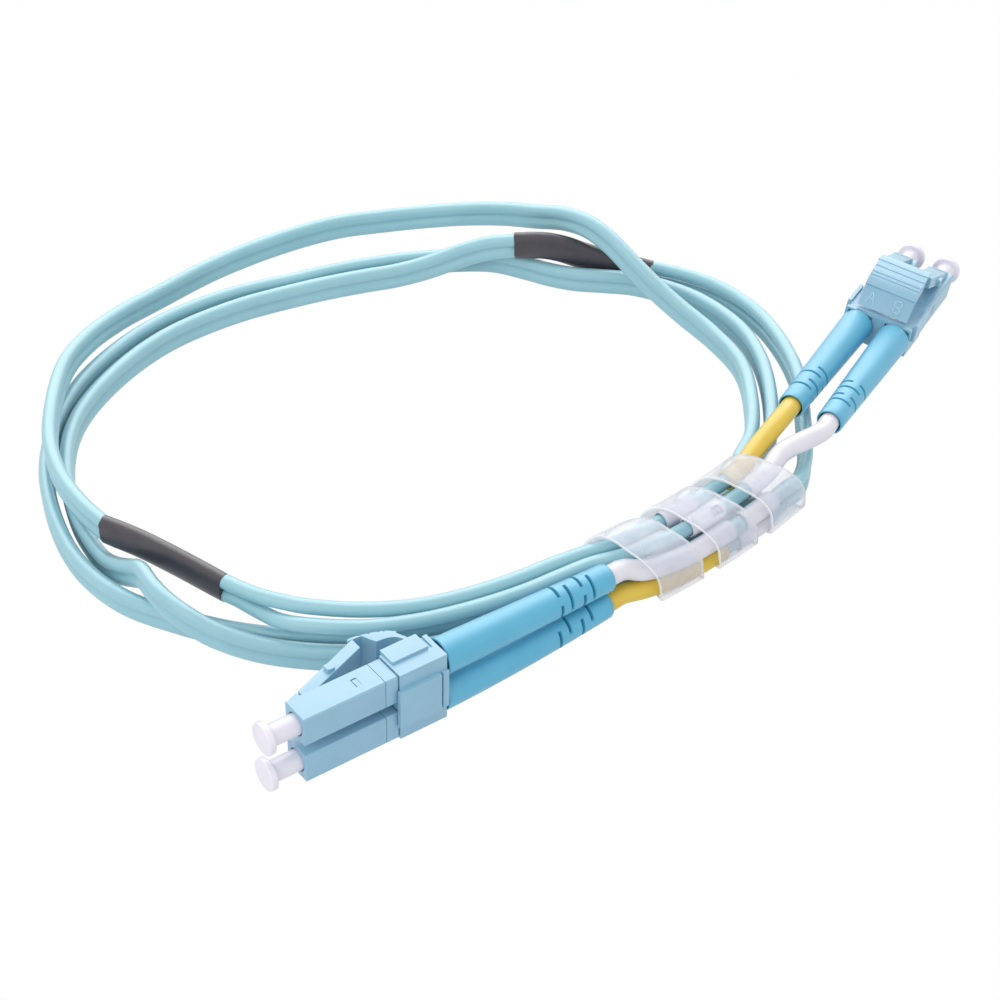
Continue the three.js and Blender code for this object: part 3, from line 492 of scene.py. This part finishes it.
# Each near leg from its sleeve to the heat-shrink, each far leg the other way.
legRoutes = {
    "near_leg_a": inBundle((21.3, -3.3, 5.9), (23.6, -3.3, 5.9), (30.5, -3.3, 5.9),
                           (34, -3.0, 5.5), (37, -2.9, 4.9))
    + onCoil((-7, 59.9, 4.2), (2, 60.4, 3.75), (14, 62.3, 3.7), (25, 63.2, 3.7), (32, 62.9, 3.7),
             (37, 61.9, 3.75), (42, 59.9, 3.85), (45, 58.4, 3.95), (47, 57.35, 4.05)),
    "near_leg_b": inBundle((20.3, -3.2, 2.6), (22.6, -3.2, 2.6), (30.5, -3.2, 2.6),
                           (34, -2.7, 2.5), (37, -2.8, 1.9))
    + onCoil((-7, 59.9, 1.4), (2, 60.4, 1.2), (14, 62.3, 1.15), (25, 63.2, 1.15), (32, 62.9, 1.15),
             (37, 61.9, 1.2), (42, 59.9, 1.3), (45, 58.4, 1.4), (47, 57.35, 1.5)),
    "far_leg_a": onCoil((238, 45.1, 7.4 + stack), (241, 45.2, 8.6), (246, 45.2, 8.5),
                        (250, 44.9, 8.35), (254, 44.4, 8.0), (264, 43.2, 7.6), (274, 42.0, 7.3),
                        (284, 40.8, 7.2), (294, 40.0, 7.2), (302, 39.8, 7.2))
    + inBundle((0, 4.3, 7.2), (5, 3.4, 7.3), (10, 3.1, 7.5), (14, 3.0, 7.5), (20, 3.0, 7.5),
               (24, 3.1, 7.5), (26.6, 3.1, 7.5)),
    "far_leg_b": onCoil((238, 45.1, 7.4 - stack), (241, 45.2, 6.3), (246, 45.8, 6.15),
                        (250, 46.6, 6.4), (254, 46.9, 6.9), (264, 46.0, 7.0), (274, 44.6, 7.0),
                        (284, 43.3, 7.0), (294, 42.5, 7.0), (302, 42.3, 7.1))
    + inBundle((0, 1.8, 7.3), (5, 0.6, 7.4), (10, -0.1, 7.5), (14, -0.3, 7.5), (20, -0.3, 7.5),
               (24, -0.3, 7.5), (27.2, -0.3, 7.5)),
}
# Each label's start and end along the wrap, then across and up.
labelPlaces = {
    "near_label_a": (23.4, 29.8, -3.3, 5.9), "near_label_b": (22.6, 29.0, -3.2, 2.6),
    "far_label_a": (13.5, 19.5, 3.0, 7.5), "far_label_b": (15.5, 21.8, -0.3, 7.5),
}
shrinkRoutes = {
    "near_heat_shrink": onCoil((47.6, 57.0, 2.9), (52, 54.6, 3.7), (57, 51.9, 5.1),
                               (61, 49.9, 6.6), (64, 48.6, 7.2), (68.6, 46.9, 7.25)),
    "far_heat_shrink": onCoil((213.4, 49.1, 7.5), (219, 47.0, 7.55), (226, 45.6, 7.55),
                              (232, 45.1, 7.5), (237.6, 45.1, 7.4)),
}


def hollow(name, line, outer, inner, material, ease=0.08):
    # a short tube with a bore, its rims eased on the outside
    def wall(radius):
        return uprightRings(line, lambda share: circle(radius, tubes["sides"]))

    rims = wall(outer - ease)
    forward = (line[0] - line[1]).normalized() * ease
    backward = (line[-1] - line[-2]).normalized() * ease
    rings = [[p + forward for p in rims[0]]] + wall(outer) + [[p + backward for p in rims[-1]]]
    rings += reversed(wall(inner))
    return makePiece(name, *skin(rings, loop=True), material)


def tubeName(node):
    return node.replace("_", "") + "Tube"


tubePieces = {}
sleeveLines = {}
for node, (side, letter, material, slotName, stops) in sleeveRoutes.items():
    inBoot = [behindFront(side, letter, boot["end"] + behind) for behind in tubes["inBoot"]]
    line = smoothLine(inBoot + inBundle(*stops), tubes["spacing"])
    tubePieces[node] = hollow(tubeName(node), line, tubes["sleeve"], tubes["sleeveBore"],
                              material)
    standFor(tubePieces[node], node)
    sleeveLines[node] = line
for node, (start, end, across, height) in labelPlaces.items():
    steps = tubes["labelSteps"]
    line = [bundle(start + (end - start) * k / steps, across, height) for k in range(steps + 1)]
    tubePieces[node] = hollow(tubeName(node), line, tubes["sleeve"], tubes["sleeveBore"],
                              whitePvc)
    standFor(tubePieces[node], node)

shrink = {"across": 1.45, "up": 2.5, "waist": 0.07, "grip": 0.02, "gripShare": 0.1,
          "sides": 40, "spacing": 0.7, "rim": 0.75}


def shrinkSection(share):
    # an oval, waisted between the strands, that tightens a little towards each end
    nearEnd = max(0.0, abs(share - 0.5) - (0.5 - shrink["gripShare"])) / shrink["gripShare"]
    grip = 1 - shrink["grip"] * nearEnd
    out = []
    for k in range(shrink["sides"]):
        turn = 2 * math.pi * k / shrink["sides"]
        waist = 1 - shrink["waist"] * abs(math.cos(turn)) ** 6
        out.append((shrink["across"] * grip * waist * math.cos(turn),
                    shrink["up"] * grip * math.sin(turn)))
    return out


for node, stops in shrinkRoutes.items():
    line = smoothLine(stops, shrink["spacing"])
    # the rims reach over the ends of the cords
    line.insert(0, line[0] + (line[0] - line[1]).normalized() * shrink["rim"])
    line.append(line[-1] + (line[-1] - line[-2]).normalized() * shrink["rim"])
    tubePieces[node] = makePiece(tubeName(node), *skin(uprightRings(line, shrinkSection)),
                                 shrunkPolyolefin)
    standFor(tubePieces[node], node)
print("sleeves and heat-shrinks made")

legSleeves = {"near_leg_a": ("near_white_sleeve", "near_label_a"),
              "near_leg_b": ("near_yellow_sleeve", "near_label_b"),
              "far_leg_a": ("far_yellow_sleeve", "far_label_a"),
              "far_leg_b": ("far_white_sleeve", "far_label_b")}
for node, route in legRoutes.items():
    sleeveLine = sleeveLines[legSleeves[node][0]]
    if node.startswith("far"):
        route = list(reversed(route))
    # the leg starts at the boot and follows every fourth spot of its sleeve
    line = smoothLine([sleeveLine[k] for k in range(0, len(sleeveLine) - 2, 4)] + route,
                      tubes["spacing"])
    rings = uprightRings(line, lambda share: circle(tubes["leg"], tubes["sides"]))
    piece = makePiece(tubeName(node), *skin(rings), extrudedJacket)
    standFor(piece, node)
print("legs made")

wrap = {"halfWidth": 6.0, "halfHeight": 5.2, "middle": 5.25, "squareness": 2.8, "top": 7.4,
        "pitch": 10.4, "ribbon": 7.5, "thick": 0.5, "tail": 1.2, "firstTurn": -0.32,
        "lastTurn": 2.47, "taperTurns": 0.28, "steps": 300, "ease": 0.12, "spans": 6,
        "ringPoints": 18, "cutSides": (0, 7, 8, 9, 16, 17)}  # the sides of a ring that were cut


def wrapSpot(along, share, inset):
    turn = share * 2 * math.pi
    power = 2 / wrap["squareness"]

    def bulge(value):
        return math.copysign(abs(value) ** power, value)

    rise = wrap["middle"] + (wrap["halfHeight"] - inset) * bulge(math.cos(turn))
    return bundle(along, -(wrap["halfWidth"] - inset) * bulge(math.sin(turn)), rise)


def wrapRings():
    rings = []
    ease, thick, spans = wrap["ease"], wrap["thick"], wrap["spans"]
    for step in range(wrap["steps"] + 1):
        share = wrap["firstTurn"] + step / wrap["steps"] * (wrap["lastTurn"] - wrap["firstTurn"])
        taper = min(1.0, (share - wrap["firstTurn"]) / wrap["taperTurns"])
        width = wrap["tail"] + taper * (wrap["ribbon"] - wrap["tail"])
        start = wrap["top"] + share * wrap["pitch"] - wrap["ribbon"] / 2
        end = start + width
        inner = width - 2 * ease
        across = [(start, ease), (start + ease, 0)]
        across += [(start + ease + inner * k / spans, 0) for k in range(1, spans)]
        across += [(end - ease, 0), (end, ease), (end, thick - ease), (end - ease, thick)]
        across += [(end - ease - inner * k / spans, thick) for k in range(1, spans)]
        across += [(start + ease, thick), (start, thick - ease)]
        rings.append([wrapSpot(along, share, inset) for along, inset in across])
    return rings


wrapPiece = makePiece("spiralWrap", *skin(wrapRings()), frostedPolyethylene, sharp=50)
wrapPiece.data.materials.append(cutFilmEdge)
# the cut edges and ends take the brighter edge film, painted light
for index, face in enumerate(wrapPiece.data.polygons):
    isEnd = len(face.vertices) > 4
    face.material_index = int(index % wrap["ringPoints"] in wrap["cutSides"] or isEnd)
standFor(wrapPiece, "spiral_wrap")
print("wrap made")

def easeEdges(shape, edges, ease, segments=3):
    bmesh.ops.bevel(shape, geom=edges, offset=ease, offset_type="OFFSET", segments=segments,
                    profile=0.6, affect="EDGES", clamp_overlap=True)


def addBlock(shape, backs, sides, heights, ease):
    # a small block with eased edges between two spots behind the front, two sides, two heights
    corners = [shape.verts.new((-back, side, height))
               for back in backs for side in sides for height in heights]
    order = ((0, 1, 3, 2), (4, 6, 7, 5), (0, 4, 5, 1), (2, 3, 7, 6), (0, 2, 6, 4), (1, 5, 7, 3))
    faces = [shape.faces.new([corners[i] for i in face]) for face in order]
    edges = list(dict.fromkeys(edge for face in faces for edge in face.edges))
    easeEdges(shape, edges, ease, segments=2)


def showShape(name, shape, side, materials, sharp):
    # a shape on a plug's own axes, put in its place
    bmesh.ops.recalc_face_normals(shape, faces=shape.faces)
    shape.transform(plugToFrame[side])
    mesh = bpy.data.meshes.new(name)
    shape.to_mesh(mesh)
    shape.free()
    return showMesh(name, mesh, materials, sharp)


# For easing a CAD solid: mm within which spots join, and the degrees up to which faces count
# as flat, and from which edges are eased and shading breaks. Plates have their own.
moulding = {"join": 0.002, "flat": 2, "eased": 32, "sharp": 28}
plate = {"eased": 35, "sharp": 30}


def easedCopy(name, node, side, ease, move=None, extras=()):
    # the CAD solid with its edges rounded as a mould leaves them, and small details added
    shape = bmesh.new()
    shape.from_mesh(nodes[node].data)
    shape.transform(plugToFrame[side].inverted())
    bmesh.ops.remove_doubles(shape, verts=shape.verts, dist=moulding["join"])
    bmesh.ops.dissolve_limit(shape, angle_limit=math.radians(moulding["flat"]),
                             verts=shape.verts, edges=shape.edges)
    if move:
        for vert in shape.verts:
            vert.co = move(vert.co)
    edges = [edge for edge in shape.edges if len(edge.link_faces) == 2
             and edge.calc_face_angle(0) > math.radians(moulding["eased"])]
    easeEdges(shape, edges, ease)
    for extra in extras:
        extra(shape)
    piece = showShape(name, shape, side, [mouldedPbt], moulding["sharp"])
    standFor(piece, node)


def platePiece(name, node, side, body, outline, width, middle, ease, extra):
    # a plate cut to an outline of (behind the front, height over the housing), edges eased
    shape = bmesh.new()
    low, high = middle - width / 2, middle + width / 2
    near = [shape.verts.new((-back, low, housing["half"] + height)) for back, height in outline]
    far = [shape.verts.new((-back, high, housing["half"] + height)) for back, height in outline]
    faces = [shape.faces.new(near), shape.faces.new(list(reversed(far)))]
    rim = list(faces[0].edges) + list(faces[1].edges)
    for k in range(len(outline)):
        n = (k + 1) % len(outline)
        shape.faces.new((near[k], far[k], far[n], near[n]))
    bmesh.ops.recalc_face_normals(shape, faces=shape.faces)
    corners = [edge for edge in shape.edges if edge not in rim
               and edge.calc_face_angle(0) > math.radians(plate["eased"])]
    easeEdges(shape, rim + corners, ease)
    extra(shape)
    piece = showShape(name, shape, side, [mouldedPbt, letterHighlightPbt], plate["sharp"])
    standFor(piece, node, body)


def rounded(stops, spacing=0.35):
    # a smooth run through (back, height) stops
    line = smoothLine([(back, height, 0) for back, height in stops], spacing)
    return [(spot.x, spot.y) for spot in line]


def ramp(value, least, most):
    share = min(1.0, max(0.0, (value - least) / (most - least)))
    return share * share * (3 - 2 * share)


def bootPiece(side, letter):
    length = boot["end"] - boot["front"]
    half, flank = boot["slotHalf"], boot["flank"]
    plainStart = boot["front"] + boot["frontRim"]
    backs = [boot["front"] + boot["gap"], plainStart]
    backs += [plainStart + k * boot["ringStep"] for k in range(1, boot["plainRings"] + 1)]
    for fromEnd in sorted(boot["slots"], reverse=True):
        middle = boot["end"] - fromEnd
        backs += [middle - half - flank, middle - half, middle + half, middle + half + flank]
    backs += [boot["end"] - fromEnd for fromEnd in boot["endRings"]]
    turns = [2 * math.pi * k / boot["sides"] for k in range(boot["sides"])]

    def ring(back, radii):
        middle = bootMiddle(side, letter, back)
        return [middle + Vector((0, radius * math.cos(turn), radius * math.sin(turn)))
                for turn, radius in zip(turns, radii)]

    def slotShare(back, turn):
        # how far a spot on the boot lies inside a slot, from 0 to 1
        for index, fromEnd in enumerate(boot["slots"]):
            off = abs(back - (boot["end"] - fromEnd))
            if off < half + flank:
                centre, reach = bootSlots[side][letter][index % 2]
                aside = abs((math.degrees(turn) - centre + 90) % 180 - 90)
                along = 1 - ramp(off, half, half + flank)
                return along * (1 - ramp(aside, reach - boot["slotEnd"], reach))
        return 0.0

    rings = []
    for back in backs:
        taper = (back - boot["front"]) / length
        plain = boot["base"] + taper * (boot["tip"] - boot["base"])
        plain -= boot["frontDrop"] * (1 - ramp(back, boot["front"], plainStart))
        plain -= boot["endDrop"] * ramp(back, boot["end"] - boot["endRim"], boot["end"])
        rings.append(ring(back, [plain - boot["slotDeep"] * slotShare(back, turn)
                                 for turn in turns]))
    outside = len(rings)
    rings += [ring(back, [radius] * boot["sides"]) for back, radius in bootBore]
    piece = makePiece(f"{side}Boot{letter.upper()}", *skin(rings, loop=True), mouldedTpe,
                      plugToFrame[side], sharp=38)
    # the slots and the bore get the darker rubber colour, a painted shade
    piece.data.materials.append(paintedShadeTpe)
    for index, face in enumerate(piece.data.polygons):
        at, k = divmod(index, boot["sides"])
        if at < outside - 1:
            back = (backs[at] + backs[at + 1]) / 2
            inSlot = slotShare(back, turns[k] + math.pi / boot["sides"]) > 0.5
            face.material_index = int(inSlot)
        else:
            face.material_index = int(at >= outside)
    standFor(piece, f"{side}_plug_{letter}_boot")


cap = {"stem": 1.5, "bore": 0.85, "inside": 5.5, "reach": 4.0, "disc": 2.3, "thick": 1.0,
       "ease": 0.22, "sides": 56, "noseLong": 0.2, "noseDrop": 0.15,
       "fillet": ((0.35, 0.0), (0.1, 0.08), (0.0, 0.3)),  # before the disc, over the stem
       "dimple": 0.05, "pin": 0.2, "solid": 1.0}


def capPiece(side, letter):
    stem, disc, reach, ease, sides = [cap[k] for k in ("stem", "disc", "reach", "ease", "sides")]
    face = -reach - cap["thick"]
    quarter = [math.pi / 2 * k / 4 for k in range(5)]
    profile = [(cap["inside"], cap["bore"]), (cap["inside"], stem - cap["noseDrop"]),
               (cap["inside"] - cap["noseLong"], stem), (0.0, stem)]
    profile += [(before - reach, stem + rise) for before, rise in cap["fillet"]]
    profile.append((-reach, disc - ease))
    profile += [(-reach - ease * (1 - math.cos(turn)), disc - ease * (1 - math.sin(turn)))
                for turn in quarter[1:]]
    profile += [(face + ease * (1 - math.sin(turn)), disc - ease * (1 - math.cos(turn)))
                for turn in quarter]
    profile += [(face, disc * 0.5), (face + cap["dimple"], cap["pin"])]
    inner = [(cap["solid"] - reach, cap["pin"]), (cap["solid"] - reach, cap["bore"])]
    middle = channelSide[letter] * channelPitch / 2
    rings = [[Vector((-back, middle + y, z)) for y, z in circle(radius, sides)]
             for back, radius in profile + inner]
    points, faces = skin(rings, loop=True)
    # the face and the end of the bore are closed instead of joined through the middle
    last, first = (len(profile) - 1) * sides, len(profile) * sides
    seam = {tuple(sorted((last + k, last + (k + 1) % sides, first + (k + 1) % sides, first + k)))
            for k in range(sides)}
    faces = [face for face in faces if tuple(sorted(face)) not in seam]
    faces.append(tuple(last + k for k in range(sides)))
    faces.append(tuple(first + k for k in reversed(range(sides))))
    piece = makePiece(f"{side}DustCap{letter.upper()}", points, faces, mouldedLdpe,
                      plugToFrame[side], sharp=50)
    standFor(piece, f"{side}_plug_{letter}_dust_cap", f"{side}_dust_cap_{letter}")


housing = {"half": 2.25, "ease": 0.1, "flapBacks": (8.93, 9.66), "flapDepths": (0.42, 0.06),
           "flapHeights": (-0.82, 0.66), "flapEase": 0.05, "pipBack": 10.4, "pipRadius": 0.17,
           "pipSunk": 0.02, "collarBack": 12.7, "collarMove": 0.16}
clipEase = 0.2
latch = {"outline": [(2.7, 0.3), (4.9, 0.35), (13.8, 3.85), (13.8, 5.8), (2.7, 1.38)],
         "width": 2.9, "ease": 0.13, "lugBacks": (7.6, 8.7), "lugHalf": 2.05,
         "lugHeights": (1.9, 3.1), "lugEase": 0.12}
# The trigger from the side: the strip a finger presses, the steep face behind it, the foot
# and the way back underneath.
trigger = {"width": 8.4, "ease": 0.06, "tip": [(13.4, 6.1)],
           "strip": [(13.4, 6.5), (14.6, 6.45), (16.1, 6.05), (17.5, 5.6), (18.8, 4.95),
                     (19.7, 4.15)],
           "face": [(19.5, 3.9), (20.15, 2.5), (20.75, 1.0)], "foot": [(20.95, 0.75)],
           "under": [(20.1, 0.75), (19.8, 1.9), (19.0, 3.2), (17.6, 3.8), (16.35, 3.94)],
           "root": [(15.9, 4.8), (15.4, 6.0)],
           "grooveBacks": (14.95, 16.5, 17.65, 18.5), "grooveHalf": 0.15, "grooveDeep": 0.13,
           "letterSides": {"A": 2.5, "B": -1.85}, "letterFoot": 0.55}
letterLook = {"high": 1.9, "wide": 1.25, "stroke": 0.15, "rise": 0.3}
letterStrokes = {
    "A": [(0, 0, 0.5, 1), (0.5, 1, 1, 0), (0.2, 0.38, 0.8, 0.38)],
    "B": [(0, 0, 0, 1), (0, 1, 0.75, 1), (0.75, 1, 0.95, 0.76), (0.95, 0.76, 0.75, 0.53),
          (0, 0.53, 0.75, 0.53), (0.75, 0.53, 1, 0.26), (1, 0.26, 0.75, 0), (0.75, 0, 0, 0)],
}


def grooved(line):
    # the same run with narrow channels cut across it
    cuts = [min(line, key=lambda spot: abs(spot[0] - back)) for back in trigger["grooveBacks"]]
    out = [line[0]]
    for before, spot, after in zip(line, line[1:], line[2:]):
        if spot not in cuts:
            out.append(spot)
            continue
        ahead = (Vector(after) - Vector(before)).normalized()
        inward = Vector((ahead.y, -ahead.x)) * trigger["grooveDeep"]
        for along, deep in ((-1, 0), (-0.7, 1), (0.7, 1), (1, 0)):
            shift = ahead * along * trigger["grooveHalf"] + inward * deep
            out.append(tuple(Vector(spot) + shift))
    return out + [line[-1]]


def writeLetter(shape, letter, corner, right, up, look):
    # raised strokes of a letter on a flat face
    outward = right.cross(up)
    madeFaces = []
    for x0, y0, x1, y1 in letterStrokes[letter]:
        start = corner + right * x0 * look["wide"] + up * y0 * look["high"]
        end = corner + right * x1 * look["wide"] + up * y1 * look["high"]
        ahead = (end - start).normalized()
        turn = Matrix((ahead, outward.cross(ahead), outward)).transposed().to_4x4()
        size = ((end - start).length + look["stroke"], look["stroke"], look["rise"])
        made = bmesh.ops.create_cube(shape, size=1.0, matrix=Matrix.Translation((start + end) / 2)
                                     @ turn @ Matrix.Diagonal((*size, 1)))
        madeFaces += [face for vert in made["verts"] for face in vert.link_faces]
    return madeFaces


def closeSeam(co):
    # the rear body's collar meets the housing at a hairline
    return co + Vector((housing["collarMove"], 0, 0)) if -co.x < housing["collarBack"] else co


def housingExtras(middle, outward):
    edge = middle + outward * housing["half"]

    def flap(shape):
        # the latching flap inside the window
        sides = sorted(edge - outward * depth for depth in housing["flapDepths"])
        addBlock(shape, housing["flapBacks"], sides, housing["flapHeights"], housing["flapEase"])

    def pip(shape):
        # an ejector pip on the underside, half as high as round
        spot = (-housing["pipBack"], middle, housing["pipSunk"] - housing["half"])
        bmesh.ops.create_uvsphere(
            shape, u_segments=12, v_segments=6, radius=housing["pipRadius"],
            matrix=Matrix.Translation(spot) @ Matrix.Diagonal((1, 1, 0.5, 1)))

    return flap, pip


def latchLug(middle):
    def lug(shape):
        sides = (middle - latch["lugHalf"], middle + latch["lugHalf"])
        heights = [housing["half"] + height for height in latch["lugHeights"]]
        addBlock(shape, latch["lugBacks"], sides, heights, latch["lugEase"])

    return lug


def triggerLetters(shape):
    # A stands upright over channel a, B is turned about over channel b
    top, foot = [Vector((-back, 0, housing["half"] + height))
                 for back, height in (trigger["face"][0], trigger["face"][-1])]
    up = (top - foot).normalized()
    aside = Vector((0, 1, 0))
    halfWide = letterLook["wide"] / 2
    low = foot + up * trigger["letterFoot"]
    high = low + up * letterLook["high"]
    strokes = writeLetter(shape, "A", low + aside * (trigger["letterSides"]["A"] + halfWide),
                          -aside, up, letterLook)
    strokes += writeLetter(shape, "B", high + aside * (trigger["letterSides"]["B"] - halfWide),
                           aside, -up, letterLook)
    # the strokes take the lighter letter colour, a painted highlight
    for face in strokes:
        face.material_index = 1


triggerOutline = (trigger["tip"] + grooved(rounded(trigger["strip"])) + trigger["face"]
                  + trigger["foot"] + rounded(trigger["under"]) + trigger["root"])
for side in ("near", "far"):
    for letter, outward in channelSide.items():
        plug = f"{side}_plug_{letter}"
        capital = letter.upper()
        middle = outward * channelPitch / 2
        easedCopy(f"{side}Housing{capital}", f"{plug}_housing", side, housing["ease"],
                  extras=housingExtras(middle, outward))
        easedCopy(f"{side}RearBody{capital}", f"{plug}_rear_body", side, housing["ease"],
                  move=closeSeam)
        platePiece(f"{side}Latch{capital}", f"{plug}_latch", side, f"{side}_latch_{letter}",
                   latch["outline"], latch["width"], middle, latch["ease"], latchLug(middle))
        bootPiece(side, letter)
        capPiece(side, letter)
        for tail, material in (("ferrule", groundZirconia), ("ferrule_flange", platedBrass),
                               ("spring", drawnSteel), ("crimp_sleeve", platedBrass)):
            cadPart = nodes[f"{plug}_{tail}"]
            cadPart.data.materials.clear()
            cadPart.data.materials.append(material)
    easedCopy(f"{side}Clip", f"{side}_duplex_clip", side, clipEase)
    platePiece(f"{side}Trigger", f"{side}_trigger", side, f"{side}_trigger", triggerOutline,
               trigger["width"], 0, trigger["ease"], triggerLetters)
print("plugs made")

# Blue-grey print on white sleeve, dull beside the PVC's gloss.
labelInk = polymer("labelInk", {
    "colour": "#5F70A4", "shade": "#586A9C", "cloudMm": 1, "grainMm": 0.2, "grainDeepMm": 0.001,
    "roughness": 0.6, "ior": 1.45})
label = {"node": "far_label_b", "along": 20.3, "across": -0.3, "height": 7.5, "sunk": 0.13}
inkLook = {"high": 1.4, "wide": 1.2, "stroke": 0.16, "rise": 0.34}
labelPiece = tubePieces[label["node"]]
labelSpot = bundle(label["along"], label["across"], label["height"])
labelAhead = bundle(label["along"] + 1, label["across"], label["height"])
labelHeading = (labelAhead - labelSpot).normalized()
# the letter faces the camera's side, square to the sleeve
toCamera = (Vector(camera["spot"]) - labelSpot).normalized()
outward = (toCamera - labelHeading * toCamera.dot(labelHeading)).normalized()
right = outward.cross(labelHeading)
corner = labelSpot + outward * (tubes["sleeve"] - label["sunk"])
corner -= right * inkLook["wide"] / 2 - labelHeading * inkLook["high"] / 2
labelShape = bmesh.new()
labelShape.from_mesh(labelPiece.data)
labelShape.transform(tableToFrame.inverted())
for face in writeLetter(labelShape, "B", corner, right, -labelHeading, inkLook):
    face.material_index = 1
labelShape.transform(tableToFrame)
labelShape.to_mesh(labelPiece.data)
labelShape.free()
labelPiece.data.materials.append(labelInk)


def seenDirectly(tree):
    # 1 where the camera sees a surface itself, in a gloss or through clear plastic
    path = addNode(tree, "ShaderNodeLightPath", {})
    mirrored = addNode(tree, "ShaderNodeMath", {
        0: path.outputs["Is Glossy Ray"], 1: path.outputs["Is Transmission Ray"]},
        operation="MAXIMUM")
    direct = addNode(tree, "ShaderNodeMath", {
        0: path.outputs["Is Camera Ray"], 1: mirrored.outputs[0]}, operation="MAXIMUM")
    return direct.outputs[0]


floorLook = {"size": 3.0, "drop": 0.02, "colour": "#E6E8EB"}  # metres wide, mm under the part
floorMesh = bpy.data.meshes.new("floor")
half = floorLook["size"] / 2
under = cadBox[0].z - floorLook["drop"] * metre
floorMesh.from_pydata([(-half, -half, under), (half, -half, under), (half, half, under),
                       (-half, half, under)], [], [(0, 1, 2, 3)])
floor = bpy.data.objects.new("floor", floorMesh)
bpy.context.scene.collection.objects.link(floor)
# Matt white sheet that burns out to pure white for the camera, as in the photo's light tent.
paper = newMaterial("mattPaper")
tree = paper.node_tree
sheet = addNode(tree, "ShaderNodeBsdfDiffuse", {"Color": linear(floorLook["colour"])})
glow = addNode(tree, "ShaderNodeEmission", {"Color": (1, 1, 1, 1), "Strength": 1.0})
both = addNode(tree, "ShaderNodeMixShader", {
    0: seenDirectly(tree), 1: sheet.outputs[0], 2: glow.outputs[0]})
addNode(tree, "ShaderNodeOutputMaterial", {"Surface": both.outputs[0]})
floorMesh.materials.append(paper)

tentLight = 0.84  # the tent's even light on the object
world = bpy.data.worlds.new("studio")
bpy.context.scene.world = world
world.use_nodes = True
tree = world.node_tree
tree.nodes.clear()
level = addNode(tree, "ShaderNodeMapRange", {
    "Value": seenDirectly(tree), "To Min": tentLight, "To Max": 1.0})
sky = addNode(tree, "ShaderNodeBackground", {
    "Color": (1, 1, 1, 1), "Strength": level.outputs["Result"]})
addNode(tree, "ShaderNodeOutputWorld", {"Surface": sky.outputs[0]})

softboxes = {  # in metres
    "back": {"spot": (-0.08, 0.46, 0.50), "size": (0.70, 0.42), "watts": 0.7, "diffuse": True},
    "front": {"spot": (-0.30, -0.42, 0.42), "size": (0.35, 0.35), "watts": 0.7, "diffuse": True},
    # the tent's bright ceiling, which lays a white veil on faces that look up
    "ceiling": {"spot": (-0.05, 0.50, 0.46), "size": (1.20, 0.90), "watts": 9.5, "diffuse": False},
}
for name, box in softboxes.items():
    lamp = bpy.data.lights.new(name + "Softbox", "AREA")
    lamp.shape = "RECTANGLE"
    lamp.size, lamp.size_y = box["size"]
    lamp.energy = box["watts"]
    stand = bpy.data.objects.new(name + "Softbox", lamp)
    bpy.context.scene.collection.objects.link(stand)
    stand.location = box["spot"]
    stand.visible_diffuse = box["diffuse"]
    stand.rotation_euler = (-stand.location).to_track_quat("-Z", "Y").to_euler()
bpy.context.scene.view_settings.view_transform = "Standard"
print("light set")
